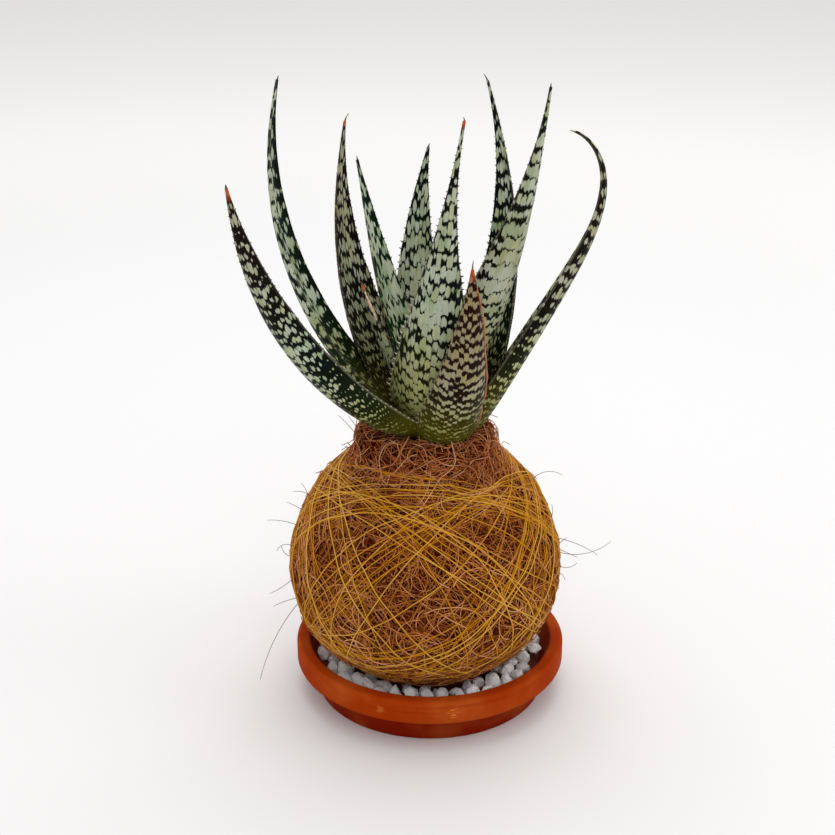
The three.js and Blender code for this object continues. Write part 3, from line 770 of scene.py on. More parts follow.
class KOKEDAMA_OT_saucer(bpy.types.Operator):
    """Turns the terracotta saucer with its band, rounded lip and sloping inside"""
    bl_idname = "kokedama.saucer"
    bl_label = "Saucer"

    def execute(self, context):
        s = context.scene.kokedama.saucer
        edge = 1 * MM
        band_round = 2.2 * MM
        floor_round = 1.6 * MM
        band_low = s.band_bottom + band_round
        profile = [
            (0, 0),
            *slope((0, 0), (s.base_radius, 0), (0.4, 0.7, 0.9)),
            *arc((s.base_radius - edge, edge), edge, -90, -10, 6),
            *slope((s.base_radius, edge), (s.body_radius, s.band_bottom), (0.2, 0.5, 0.8, 0.96)),
            *arc((s.radius - band_round, band_low), band_round, -90, 0, 8),
            *slope((s.radius, band_low), (s.radius, s.height - s.lip), (0.3, 0.6)),
            *arc((s.radius - s.lip, s.height - s.lip), s.lip, 0, 90, 9),
            *arc((s.rim_radius + edge, s.height - edge), edge, 90, 180, 6),
            *slope((s.rim_radius, s.height - edge), (s.floor_radius, s.floor + floor_round),
                   (0.15, 0.4, 0.7, 1)),
            *arc((s.floor_radius - floor_round, s.floor + floor_round), floor_round, 0, -90, 6),
            *slope((0, s.floor), (s.floor_radius, s.floor), (0.8, 0.4)),
            (0, s.floor),
        ]
        place(lathe("saucer_clay", profile, SAUCER_STEPS, clay_material(s)), "terracotta", "saucer")
        return {"FINISHED"}


# Gravel
def stone_material(s):
    """White stone with veins, and the dark bed under it, which has a higher tone and carries the painted
    shade of the gaps
    """
    nodes = new_material("white_gravel")
    spot = nodes.object_place()
    tone = nodes.attribute("tone")
    cloud = nodes.noise(spot, 320, 3)
    white = nodes.colour(nodes.step(tone, 0.35, 1), s.stone, s.shade)
    veined = nodes.colour(nodes.step(cloud, 0.58, 0.78) * 0.25, white, s.vein)
    colour = nodes.colour(nodes.step(tone, 1.2, 1.6), veined, s.bed)
    return nodes.surface(colour, 0.55, 0.3, cloud + nodes.noise(spot, 1800, 2) * 0.5, 0.3 * MM)


def gravel_tree():
    """Uneven pebbles scattered over a bed, each turned and sized at random"""
    nodes, inputs = new_tree("Gravel", Float=("Spacing", "Pebble"), Int=("Seed",), Material=("Material",))
    points = nodes.add("GeometryNodeDistributePointsOnFaces", {
        "Mesh": inputs["Geometry"], "Distance Min": inputs["Spacing"], "Density Max": 400000,
        "Seed": inputs["Seed"]}, distribute_method="POISSON")
    ball = nodes.add("GeometryNodeMeshIcoSphere", {"Radius": 1, "Subdivisions": 3})
    turn = nodes.random_vector((0, 0, 0), (6.28, 6.28, 6.28), 7)
    size = nodes.random_vector((0.75, 0.65, 0.6), (1.35, 1.15, 1), 11)
    stones = nodes.copies(
        nodes.store(points, centre=nodes.position()), nodes.store(ball, shape=nodes.position()),
        Rotation=nodes.add("FunctionNodeEulerToRotation", {0: turn}), Scale=size * inputs["Pebble"])
    loose = nodes.realize(nodes.store(stones, "INSTANCE", tone=nodes.random(0, 1, 23)))
    tone, shape, centre = nodes.named("tone"), nodes.named_vector("shape"), nodes.named_vector("centre")
    uncut, deepest, shallowest = 1.25, 0.6, 1.15
    reach = uncut
    for number, facet in enumerate(FACETS, 1):
        cut = nodes.blend(nodes.math("FRACT", tone * (7.3 * number)), deepest, shallowest)
        facing = nodes.math("MAXIMUM", nodes.vector("DOT_PRODUCT", shape, facet, output=1), 0.1)
        reach = nodes.math("MINIMUM", reach, cut / facing)
    lump = nodes.wander(shape + tone * (71, 37, 53), 1.6) * (inputs["Pebble"] * 0.3)
    chipped = nodes.move(loose, centre + (nodes.position() - centre) * reach + lump)
    return nodes.finish(chipped, inputs["Material"])


def join(name, pieces):
    """Joins pieces into the first one"""
    for piece in bpy.context.view_layer.objects:
        piece.select_set(piece in pieces)
    bpy.context.view_layer.objects.active = pieces[0]
    bpy.ops.object.join()
    pieces[0].name = name
    return pieces[0]


class KOKEDAMA_OT_gravel(bpy.types.Operator):
    """Fills the saucer with white gravel round the ball's foot"""
    bl_idname = "kokedama.gravel"
    bl_label = "Gravel"

    def execute(self, context):
        s = context.scene.kokedama.gravel
        stone = stone_material(s)
        # The bed under the pebbles is coloured with the painted shade of the gaps
        bed = lathe("gravel_floor", [in_metres(point) for point in GRAVEL_FLOOR], GRAVEL_STEPS, stone)
        painted_shade_tone = 2.0
        keep(bed, tone=np.full(len(bed.data.vertices), painted_shade_tone))
        layers = [bed]
        turns = np.linspace(0, 2 * math.pi, GRAVEL_STEPS, endpoint=False)
        for layer, (inner, outer, rise) in enumerate(GRAVEL_LAYERS):
            ring = [(radius * MM * math.cos(a), radius * MM * math.sin(a),
                     s.top + (rise + GRAVEL_TILT * math.cos(a - GRAVEL_HIGH)) * MM)
                    for radius in (inner, outer) for a in turns]
            sheet = new_piece("gravel_layer", ring, ring_faces(0, GRAVEL_STEPS))
            layers.append(grow(sheet, gravel_tree(), {
                "Spacing": s.spacing, "Pebble": s.pebble, "Seed": s.seed + layer, "Material": stone}))
        place(join("gravel_pebbles", layers), "white_gravel", "gravel_bed")
        return {"FINISHED"}


# Ball
def fibre_material(name, dark, middle, pale, roughness, deep=None, smudge=None):
    """Fibre or thread that takes its tone from each strand, with painted shade where it lies deep, and
    darker in the dark patches
    """
    nodes = new_material(name)
    spot = nodes.object_place()
    streak = nodes.noise(spot, 700, 2)
    value = nodes.attribute("tone") + (streak * 0.4 + nodes.noise(spot, 42, 2) * 0.7 - 0.55)
    low = nodes.colour(nodes.step(value, -0.1, 0.5), dark, middle)
    colour = nodes.colour(nodes.step(value, 0.55, 1.15), low, pale)
    if deep:
        # Painted shade: the deeper a strand lies, the more it takes the deep colour
        colour = nodes.colour(nodes.step(nodes.attribute("depth"), 0.3, 1.05), colour, deep)
    # Darkens the fibres within the dark patches on the front
    for centre, size in DARK_PATCHES if smudge else ():
        away = nodes.size((spot - in_metres(centre)) * (1, 1, 0.35))
        in_patch = nodes.step(away, size * MM, 0) * nodes.step(streak, 0.3, 0.55)
        colour = nodes.colour(in_patch, colour, smudge)
    return nodes.surface(colour, roughness, 0.06, streak, 0.08 * MM)


def mat_material(s):
    """Matted fibre seen between the loose ones, with painted shade of the deep gaps in dark cloudy patches
    """
    nodes = new_material("coir_mat")
    spot = nodes.object_place()
    warped = spot + nodes.noise(spot, 90, 2, 1) * 0.02
    lines = nodes.step(nodes.math("ABSOLUTE", nodes.noise(warped, 420, 3) - 0.5), 0.07, 0)
    tone = nodes.noise(spot, 120, 3)
    # Cloudy patches of painted gap shade on the mat
    deep = nodes.colour(nodes.step(tone, 0.3, 0.7), s.gap, s.mat)
    return nodes.surface(nodes.colour(lines * 0.35, deep, s.coir), 0.9, 0, lines + tone, 0.5 * MM)


def fibre_tree():
    """Bowed fibres laid on a surface between two heights, woven over and under each other"""
    nodes, inputs = new_tree(
        "Coir fibres", Int=("Points", "Seed"), Material=("Material",),
        Float=("Density", "Shortest", "Longest", "Least bow", "Most bow", "Turn", "Curl", "Lift",
               "Stray", "Girth", "Low", "High"))
    surface = inputs["Geometry"]
    height = nodes.split(nodes.position(), 2)
    chosen = nodes.add("FunctionNodeBooleanMath", {
        0: nodes.add("FunctionNodeCompare", {0: height, 1: inputs["Low"]}, operation="GREATER_THAN"),
        1: nodes.add("FunctionNodeCompare", {0: height, 1: inputs["High"]}, operation="LESS_THAN")})
    points = nodes.add("GeometryNodeDistributePointsOnFaces", {
        "Mesh": surface, "Selection": chosen, "Density": inputs["Density"], "Seed": inputs["Seed"]})
    normal = Value(nodes, points.socket.node.outputs["Normal"])
    level = nodes.vector("NORMALIZE", nodes.vector("CROSS_PRODUCT", (0, 0, 1), normal))
    turned = nodes.add("ShaderNodeVectorRotate", {
        "Vector": level, "Axis": normal,
        "Angle": nodes.random(inputs["Turn"] * -1, inputs["Turn"], inputs["Seed"])})
    rooted = nodes.store(
        points, foot=nodes.position(), ahead=turned, aside=nodes.vector("CROSS_PRODUCT", normal, turned),
        size=nodes.random(inputs["Shortest"], inputs["Longest"], 31),
        bow=nodes.random(inputs["Least bow"], inputs["Most bow"], 37), tone=nodes.random(0, 1, 47))
    line = nodes.add("GeometryNodeCurvePrimitiveLine", {"Start": (-0.5, 0, 0), "End": (0.5, 0, 0)})
    strand = nodes.add("GeometryNodeResampleCurve", {"Curve": line, "Count": inputs["Points"]})
    run = nodes.store(strand, run=nodes.split(nodes.position(), 0))
    loose = nodes.realize(nodes.copies(rooted, run))
    tone, bow = nodes.named("tone"), nodes.named("bow")
    angle = bow * nodes.named("run")
    radius = nodes.named("size") / bow
    forward = nodes.named_vector("ahead") * (radius * nodes.math("SINE", angle))
    sideways = nodes.named_vector("aside") * (radius * (1 - nodes.math("COSINE", angle)))
    bent = nodes.named_vector("foot") + forward + sideways
    own = bent + tone * (3.1, 1.7, 2.3)
    curled = nodes.move(loose, bent + nodes.wander(own, 75) * inputs["Curl"])
    here = nodes.position() + tone * (5.3, 2.9, 7.7)
    layer = nodes.math("FRACT", tone * 7.3)
    weave = nodes.blend(0.35, layer, nodes.step(nodes.noise(here, 120, 1), 0.25, 0.75))
    # The depth is kept for the painted shade of fibres that lie deep
    woven = nodes.store(curled, depth=1 - weave)
    end = nodes.math("POWER", nodes.add("GeometryNodeSplineParameter"), 4)
    stray = end * inputs["Stray"] * nodes.step(tone, 0.6, 0.95)
    lain = nodes.lay(woven, surface, weave * inputs["Lift"] + stray)
    girth = inputs["Girth"] * nodes.blend(nodes.noise(own, 9, 0), 0.55, 1.5)
    return nodes.finish(nodes.strand(lain, 3, girth, True), inputs["Material"])


def thread_tree():
    """Closed turns of thread, one for each point of the input, wound on the ball in that point's plane"""
    nodes, inputs = new_tree(
        "Winding", Object=("Surface",), Float=("Lift", "Neck", "Girth"), Material=("Material",))
    axis, offset, tone = nodes.named_vector("axis"), nodes.named("offset"), nodes.named("tone")
    ring = nodes.add("GeometryNodeCurvePrimitiveCircle", {"Resolution": TURN_POINTS, "Radius": 1})
    rings = nodes.copies(inputs["Geometry"], ring, Rotation=nodes.turn_to(axis, "Z"))
    ray = nodes.position() + axis * offset
    high = nodes.math("GREATER_THAN", nodes.split(ray, 2), 0)
    reach = nodes.join(BALL_RADIUS, BALL_RADIUS, nodes.blend(high, BALL_DOWN, BALL_UP))
    on_ball = ray * (1 / nodes.size(ray / reach))
    away = nodes.size(on_ball * (1, 1, 0))
    clear = nodes.math("MAXIMUM", away, inputs["Neck"]) / nodes.math("MAXIMUM", away, 1 * MM)
    near_neck = nodes.math("GREATER_THAN", nodes.split(on_ball, 2), BALL_UP * 0.6)
    spread = nodes.blend(near_neck, 1, clear)
    round_neck = on_ball * nodes.join(spread, spread, 1)
    wave = nodes.wander(round_neck + tone * (9.1, 4.3, 6.7), 38) * (3.2 * MM)
    moved = nodes.move(nodes.realize(rings), round_neck + (BALL_X, 0, BALL_Z) + wave)
    surface = nodes.add("GeometryNodeObjectInfo", {"Object": inputs["Surface"]}, "Geometry")
    lain = nodes.lay(moved, surface, inputs["Lift"] + tone * (0.6 * MM))
    girth = inputs["Girth"] * nodes.blend(tone, 0.6, 1.15)
    return nodes.finish(nodes.strand(lain, 4, girth, False), inputs["Material"])


def ball_profile():
    """The coir mat's outline, from the foot up over the frayed collar and down into the neck"""
    foot = math.asin((BALL_FOOT - BALL_Z) / BALL_DOWN)
    shoulder = math.acos(SHOULDER_RADIUS / BALL_RADIUS)
    outline = [(0, BALL_FOOT), (FOOT_RADIUS, BALL_FOOT)]
    for angle in np.linspace(foot, shoulder, MAT_RINGS):
        reach = BALL_UP if angle > 0 else BALL_DOWN
        outline.append(((BALL_RADIUS - MAT_INSET) * math.cos(angle),
                        BALL_Z + (reach - MAT_INSET) * math.sin(angle)))
    radii, heights = np.array(COLLAR).T * MM
    places = range(len(COLLAR))
    outline += [(np.interp(s, places, radii), np.interp(s, places, heights))
                for s in np.linspace(0, len(COLLAR) - 1, COLLAR_RINGS)]
    return outline + [(0, NECK_BOTTOM)]


def dent(piece):
    """Softly dents the mat as hand-wrapped fibre is, with a broad and a fine wave"""
    points = np.array([vertex.co for vertex in piece.data.vertices])
    turn = np.arctan2(points[:, 1], points[:, 0] - BALL_X)
    height = points[:, 2] / MM
    broad = 0.5 + 0.5 * np.sin(3 * turn + height / 9) * np.cos(5 * turn - height / 13)
    fine = 0.35 * np.sin(11 * turn + height / 3.1) * np.cos(7 * turn - height / 4.3)
    radius = np.hypot(points[:, 0] - BALL_X, points[:, 1])
    inset = (broad + fine) * MM * np.clip((height - DENT_BOTTOM) / DENT_RISE, 0, 1) * (radius > DENT_RADIUS)
    factor = 1 - inset / np.maximum(radius, 1 * MM)
    points[:, 0] = BALL_X + (points[:, 0] - BALL_X) * factor
    points[:, 1] *= factor
    piece.data.vertices.foreach_set("co", points.astype(np.float32).ravel())
    piece.data.update()


class KOKEDAMA_OT_coir(bpy.types.Operator):
    """Wraps the ball in its mat of coir and lays the fibres on it and round the neck"""
    bl_idname = "kokedama.coir"
    bl_label = "Coir"

    def execute(self, context):
        s = context.scene.kokedama.ball
        mat = lathe("coir_mat", ball_profile(), MAT_STEPS, mat_material(s), BALL_X)
        dent(mat)
        place(mat, "coir_fibre", "coir_wrap")
        coir = fibre_material("coir_fibre", s.dark, s.coir, s.pale, 0.55, s.deep, s.smudge)
        collar = fibre_material("collar_fibre", s.collar_dark, s.collar, s.collar_pale, 0.55, s.collar_deep)
        tree = fibre_tree()
        for number, kind in enumerate(FIBRES):
            fibres = bpy.data.objects.new(kind.name, mat.data.copy())
            context.scene.collection.objects.link(fibres)
            lengths = {
                "Shortest": kind.size[0], "Longest": kind.size[1], "Low": kind.heights[0],
                "High": kind.heights[1], "Curl": kind.curl, "Lift": kind.lift, "Stray": kind.stray}
            grow(fibres, tree, {
                **{label: value * MM for label, value in lengths.items()},
                "Density": float(kind.density), "Points": kind.points, "Least bow": kind.bow[0],
                "Most bow": kind.bow[1], "Turn": FIBRE_TURN, "Girth": kind.girth * s.fibre,
                "Seed": s.seed + number, "Material": collar if "collar" in kind.name else coir})
            place(fibres, "coir_fibre")
        return {"FINISHED"}


def hair_path(hair):
    """The points that a loose hair passes, from just inside the ball's skin"""
    height = hair.height * MM
    reach = BALL_UP if height > BALL_Z else BALL_DOWN
    on_ball = BALL_RADIUS * math.sqrt(max(0, 1 - ((height - BALL_Z) / reach) ** 2))
    radius = max(on_ball, COLLAR[2][0] * MM) - HAIR_ROOT
    turn = math.radians(hair.turn)
    way = np.linspace(0, 1, HAIR_POINTS - 1)
    rise = np.radians(hair.rise + hair.lift * way)
    heading = turn + np.radians(hair.heading + hair.swing * way)
    ahead = np.stack([np.cos(rise) * np.cos(heading), np.cos(rise) * np.sin(heading), np.sin(rise)], 1)
    start = np.array((BALL_X + radius * math.cos(turn), radius * math.sin(turn), height))
    steps = ahead * (hair.length * MM + HAIR_ROOT) / len(way)
    return np.vstack([start, start + np.cumsum(steps, 0)])


class KOKEDAMA_OT_hairs(bpy.types.Operator):
    """Adds the loose wiry hairs that stand out of the ball"""
    bl_idname = "kokedama.hairs"
    bl_label = "Loose hairs"

    def execute(self, context):
        s = context.scene.kokedama.ball
        nodes = new_material("loose_hair")
        cloud = nodes.noise(nodes.object_place(), 60, 2)
        material = nodes.surface(nodes.colour(cloud, s.dark_hair, s.pale_hair), 0.5, 0.3)
        radii = np.linspace(*HAIR_RADII, HAIR_POINTS) * MM
        paths = [(hair_path(hair), radii, 0) for hair in HAIRS]
        place(tubes("loose_hairs", paths, material), "coir_fibre")
        return {"FINISHED"}


class KOKEDAMA_OT_thread(bpy.types.Operator):
    """Winds the golden thread round the ball in many leaning turns and a few dense bands"""
    bl_idname = "kokedama.thread"
    bl_label = "Golden thread"

    def execute(self, context):
        s = context.scene.kokedama.ball
        rng = np.random.default_rng(s.seed)
        turns = []
        for band in BANDS:
            for _ in range(band.strands):
                lean, turn, offset = band.spread * rng.normal(size=3)
                turns.append((band.lean + lean, band.turn + turn, band.offset + BAND_SPREAD * offset))
        for i in range(s.turns):
            lean = mix(LEAST_LEAN, MOST_LEAN, (i * GOLDEN_STEP) % 1)
            past_neck = math.cos(math.radians(lean + NECK_ANGLE))
            turns.append((lean, rng.uniform(0, 360), past_neck - rng.uniform(0, TURN_DROP)))
        lean, turn, offset = np.array(turns).T
        lean, turn = np.radians(lean), np.radians(turn)
        axes = np.stack([np.sin(lean) * np.cos(turn), np.sin(lean) * np.sin(turn), np.cos(lean)], 1)
        winding = new_piece("golden_thread", np.zeros((len(turns), 3)), [])
        keep(winding, axis=axes, offset=offset, tone=rng.uniform(0, 1, len(turns)))
        gold = fibre_material("golden_thread", s.dark_gold, s.gold, s.pale_gold, 0.5)
        grow(winding, thread_tree(), {"Surface": bpy.data.objects["coir_mat"], "Lift": THREAD_LIFT,
                                      "Neck": NECK_RADIUS, "Girth": s.thread, "Material": gold})
        place(winding, "golden_thread", "winding_thread")
        return {"FINISHED"}


# Leaves
def leaf_directions(growth, share):
    """The along, side and inward directions at shares of a leaf's length"""
    lean = np.radians(mix(*growth.lean, share ** growth.bend))[:, None]
    sway = np.radians(mix(*growth.sway, share))[:, None]
    roll = np.radians(growth.roll * share)[:, None]
    azimuth = math.radians(growth.azimuth)
    outward = np.array((math.cos(azimuth), math.sin(azimuth), 0))
    across = np.array((-math.sin(azimuth), math.cos(azimuth), 0))
    upright = np.cos(lean) * np.array((0, 0, 1)) + np.sin(lean) * outward
    inward = np.cross(upright, across)
    along = upright * np.cos(sway) + across * np.sin(sway)
    side = across * np.cos(sway) - upright * np.sin(sway)
    return along, side * np.cos(roll) + inward * np.sin(roll), inward * np.cos(roll) - side * np.sin(roll)


def leaf_axis(growth, count):
    """Shares, centres and directions at rings from base to tip, in millimetres"""
    fine = 8
    steps = (count - 1) * fine
    share = np.arange(steps + 1) / steps
    azimuth = math.radians(growth.azimuth)
    radius, height = growth.start
    foot = np.array((STEM_X + radius * math.cos(azimuth), radius * math.sin(azimuth), height))
    step = leaf_directions(growth, (np.arange(steps) + 0.5) / steps)[0] * growth.length / steps
    centre = np.vstack([foot, foot + np.cumsum(step, 0)])
    rings = slice(None, None, fine)
    return share[rings], centre[rings], *(values[rings] for values in leaf_directions(growth, share))


def leaf_width(growth, share):
    """A leaf's width at shares of its length, in millimetres"""
    base = 1 - BASE_NARROWING * (1 - np.minimum(1, share / BASE_LENGTH)) ** 2
    return growth.width * base * np.maximum(0, 1 - share ** 1.6) ** growth.taper + TIP_WIDTH


def leaf_ring():
    """Places round a leaf: across from -1 to 1, and from the upper face at 0 to the lower at 1"""
    upper = [(u, 0.0) for u in np.sin(np.linspace(-1, 1, 11) * math.pi / 2)]
    lower = [(u, 1.0) for u in np.sin(np.linspace(1, -1, 15) * math.pi / 2)]
    return upper + [(1.0, ON_MARGIN)] + lower + [(-1.0, ON_MARGIN)]


def ring_walk():
    """How far along its skin each place of leaf_ring is from the leaf's midline, 1 at the margins"""
    fine = 200
    walk = []
    for u, low in leaf_ring():
        steps = np.linspace(0, abs(u), fine)
        bulge = LEAF_THICKNESS * 2 * np.sqrt(1 - steps ** 2) * (low > 0)
        height = LEAF_CHANNEL * steps ** 2 - bulge
        reach = np.hypot(np.diff(steps), np.diff(height)).sum()
        walk.append((reach, u, low))
    ends = {face: max(reach for reach, _, low in walk if (low > 0) == face) for face in (False, True)}
    return np.array([math.copysign(reach / ends[low > 0], u) for reach, u, low in walk]), ends[True]


def leaf_rings(growth, look, seed):
    """The rings of one leaf and its tail, with their shares, half widths and side directions"""
    share, centre, along, side, inward = leaf_axis(growth, LEAF_RINGS)
    width = leaf_width(growth, share)
    # The margins wave a little
    half = width / 2 * (1 + 0.012 * np.sin(share * 31 + seed) + 0.01 * np.sin(share * 57 + 2 * seed))
    depth = np.maximum(LEAF_THICKNESS * width, MARGIN_THICKNESS + 0.2)
    margin = np.minimum(MARGIN_THICKNESS, 0.7 * depth)
    rings = []
    for u, low in leaf_ring():
        bulge = margin + (depth - margin) * math.sqrt(max(0, 1 - u * u))
        x = half * u + (MARGIN_LIP * np.sign(u) if low == ON_MARGIN else 0)
        y = LEAF_CHANNEL * half * u * u - low * bulge
        rings.append(centre + side * x[:, None] + inward * y[:, None])
    rings = np.stack(rings, 1)
    length, swing, curl = look.tail
    reach = max(length, TIP_LENGTH) / TAIL_RINGS
    end, core = centre[-1], rings[-1] - centre[-1]
    tail = []
    for part in np.linspace(1 / TAIL_RINGS, 1, TAIL_RINGS):
        bent = along[-1] + (side[-1] * math.radians(swing) - inward[-1] * math.radians(curl)) * part
        end = end + bent / np.linalg.norm(bent) * reach
        tail.append(end + core * ((1 - part) ** 0.6 * (0.55 if length else 1) + 0.04))
    shares = np.append(share, 1 + TAIL_STEP * np.arange(1, TAIL_RINGS + 1))
    half = np.append(half, np.full(TAIL_RINGS, half[-1]))
    side = np.vstack([side, np.repeat(side[-1:], TAIL_RINGS, 0)])
    return np.concatenate([rings, tail]), shares, half, side


def leaf_piece(node, material, seed):
    """One leaf: channelled above, rounded below, its spots' grid and look kept as attributes"""
    growth, look = LEAVES[node]
    rings, shares, half, side = leaf_rings(growth, look, seed)
    total, count = rings.shape[:2]
    faces = [tuple(range(count)), tuple(range((total - 1) * count, total * count))]
    for row in range(total - 1):
        faces += ring_faces(row * count, count)
    piece = point_outwards(new_piece("aloe_" + node, rings.reshape(-1, 3) * MM, faces, material))
    row = np.repeat(np.arange(total), count)
    across, lower = (np.tile(values, total) for values in zip(*leaf_ring()))
    share = np.minimum(1, shares)[row]
    widths = (0.48 * look.broad, min(1, 0.8 * look.broad), 1, 0.75)
    lengths = (0.3 * look.broad, min(1, 0.66 * look.broad), 1, 0.95)
    spot_width, spot_length = (
        whole * np.interp(shares, (0, 0.25, 0.5, 1), parts)
        for whole, parts in zip(look.spot, (widths, lengths)))
    walk = np.concatenate([[0], np.cumsum(np.diff(shares) * growth.length / spot_length[1:])])
    skin, girth = ring_walk()
    skin = np.tile(skin, total)
    aside, ahead = np.multiply(PATTERN_SHIFT, seed)
    grain = np.stack([skin * girth * (half / spot_width)[row] + aside, walk[row] + ahead], 1)
    corners = np.zeros(len(piece.data.loops), np.int32)
    piece.data.loops.foreach_get("vertex_index", corners)
    layer = piece.data.uv_layers.new(name="grain")
    layer.data.foreach_set("uv", grain[corners].astype(np.float32).ravel())
    left, right = (np.clip((sign * skin - 0.3) / 0.7, 0, 1) ** 2 for sign in (-1, 1))
    # Painted shade darkens the skin towards the left and right margins, more towards the tip
    darker = (look.margins[0] * left + look.margins[1] * right) * (0.6 + 0.4 * share)
    foot = np.clip((look.olive - share) / (look.olive - 0.04), 0, 1)
    from_tip = (1 - share) * growth.length / max(look.dry, 1)
    keep(
        piece, along=share, cover=along_leaf(look.cover, share) - darker, tan=along_leaf(look.tan, share),
        olive=foot ** 2 * (3 - 2 * foot), bands=np.full(len(share), look.bands),
        parting=np.full(len(share), look.spot[2]),
        dry=np.clip(1 - from_tip, 0, 1) ** 0.5 * (look.dry > 0),
        spine=np.clip((shares[row] - 1) * 500, 0, 1), edge=np.abs(skin),
        horn=np.clip(look.horn * np.sign(across), 0, 1) * np.clip(1.25 - 1.7 * share, 0.1, 1),
        outward=np.sign(across)[:, None] * side[row],
        ridge=(lower == ON_MARGIN) & (shares[row] > 0.05) & (shares[row] < 0.95))
    return piece


def skin_material(s):
    """Pale oval spots in files along the leaf and ragged bands across it, on dark skin"""
    nodes = new_material("aloe_leaf")
    grain = nodes.add("ShaderNodeUVMap", uv_map="grain")
    place = nodes.object_place()
    along, cover, tan, edge = map(nodes.attribute, ("along", "cover", "tan", "edge"))
    warped = grain + nodes.wander(grain, 0.4) * 0.9 + nodes.wander(grain, 1.8) * 0.55
    x, y = nodes.split(warped, 0), nodes.split(warped, 1)
    file = nodes.math("FLOOR", x)
    uneven = nodes.add("ShaderNodeTexWhiteNoise", {"W": file}, noise_dimensions="1D")
    stagger = nodes.math("FRACT", file * 0.5) * 0.5 + uneven * 0.3
    lane = y + stagger
    row = nodes.math("FLOOR", lane)
    draw = nodes.add("ShaderNodeTexWhiteNoise", {"Vector": nodes.join(file, row, 0)}, noise_dimensions="2D")
    aside = (nodes.math("FRACT", x) - 0.5) * nodes.attribute("parting") * 1.34
    ahead = (nodes.math("FRACT", lane) - 0.5) * 2.05
    oval = nodes.size(nodes.join(aside, ahead, 0))
    rough = (nodes.noise(grain, 2.8, 3) - 0.5) * 0.75
    centre = nodes.join(file * 0.17, (row - stagger) * 0.82, 0)
    band = (nodes.noise(centre, 1, 1) - 0.5) * nodes.attribute("bands") * 2.1
    reach = nodes.blend(cover + band + (draw - 0.5) * 0.34, -0.05, 1.36)
    spot = nodes.step(reach - (oval + rough), -0.13, 0.13)
    low = nodes.step(along, 0.48, 0.16)
    green = nodes.colour(nodes.step(nodes.noise(grain, 0.35, 2), 0.4, 0.65), s.spot, s.green_spot)
    yellowing = nodes.step(draw, 0.78, 0.92) * nodes.blend(tan, 0.2, 0.8)
    yellowed = nodes.colour(yellowing, green, s.yellow_spot)
    pale = nodes.colour(tan, nodes.colour(low, yellowed, s.low_spot), s.tan_spot)
    streak = nodes.noise(grain * (3.4, 0.5, 1), 1, 2)
    lines = nodes.step(nodes.math("ABSOLUTE", aside), 0.5, 0.64) * nodes.step(rough, -0.1, 0.2)
    dim = lines * 0.34 + nodes.step(streak, 0.45, 0.7) * 0.2
    cool = nodes.colour(nodes.step(nodes.noise(place, 70, 2), 0.42, 0.62), s.ground, s.cool_ground)
    plain = nodes.colour(low, cool, s.low_ground)
    dark = nodes.colour(tan, nodes.colour(tan * -1, plain, s.green_ground), s.tan_ground)
    skin = nodes.colour(spot, dark, nodes.colour(dim, pale, dark))
    line = nodes.step(edge, 0.965, 1) * nodes.blend(nodes.attribute("horn"), 0.1, 0.45)
    lined = nodes.colour(line, skin, s.margin)
    shaded = nodes.colour(nodes.attribute("olive") * 0.6, lined, s.foot)
    reddened = nodes.colour(nodes.attribute("dry"), shaded, s.dry)
    colour = nodes.colour(nodes.attribute("spine"), reddened, s.spine)
    fine = nodes.noise(place, 1500, 2)
    return nodes.surface(colour, nodes.blend(fine, 0.4, 0.56), 0.04, spot * 0.6 + fine * 0.3, 0.05 * MM)


def tooth_material(s):
    """Teeth that are dark on most margins and pale where a leaf's horn says so"""
    nodes = new_material("aloe_tooth")
    cloud = nodes.noise(nodes.object_place(), 300, 1)
    pale = nodes.colour(cloud, s.horn, s.tan_horn)
    dark = nodes.colour(cloud, s.green_tooth, s.brown_tooth)
    return nodes.surface(nodes.colour(nodes.attribute("horn"), dark, pale), 0.45, 0.3)


def tooth_tree():
    """Small hooked teeth along a leaf's margins, joined to the leaf itself"""
    nodes, inputs = new_tree("Marginal teeth", Float=("Spacing", "Tooth"), Material=("Material",))
    margins = nodes.add("GeometryNodeMeshToCurve", {
        "Mesh": inputs["Geometry"], "Selection": nodes.named("ridge", "BOOLEAN")})
    even = nodes.add("GeometryNodeResampleCurve", {
        "Curve": margins, "Length": inputs["Spacing"]}, mode="LENGTH")
    tangent = nodes.add("GeometryNodeInputTangent")
    hooked = nodes.turn_to(nodes.named_vector("outward") + tangent * 0.5, "Z")
    facing = nodes.add("FunctionNodeAlignRotationToVector", {
        "Rotation": hooked, "Vector": tangent}, axis="X", pivot_axis="Z")
    cone = nodes.add("GeometryNodeMeshCone", {
        "Vertices": 5, "Radius Top": 0.06, "Radius Bottom": 0.45, "Depth": 1})
    narrow = nodes.add("ShaderNodeMapRange", {0: nodes.named("along"), 1: 0.6, 2: 1, 3: 1, 4: 0.4})
    stout = nodes.blend(nodes.named("horn"), 1, 1.5)
    size = inputs["Tooth"] * nodes.random(0.6, 1.15, 3) * narrow * stout
    teeth = nodes.copies(even, cone, Rotation=facing, Scale=nodes.join(size, size * 0.6, size))
    return nodes.finish(nodes.realize(teeth), inputs["Material"], inputs["Geometry"])


class KOKEDAMA_OT_leaves(bpy.types.Operator):
    """Grows the eleven leaves with their spotted skin, marginal teeth and dried tips"""
    bl_idname = "kokedama.leaves"
    bl_label = "Leaves"

    def execute(self, context):
        s = context.scene.kokedama.leaf
        skin, horn, tree = skin_material(s), tooth_material(s), tooth_tree()
        for seed, node in enumerate(LEAVES):
            piece = leaf_piece(node, skin, seed)
            grow(piece, tree, {"Spacing": s.tooth_spacing, "Tooth": s.tooth, "Material": horn})
            place(piece, "aloe_leaf", node)
        return {"FINISHED"}


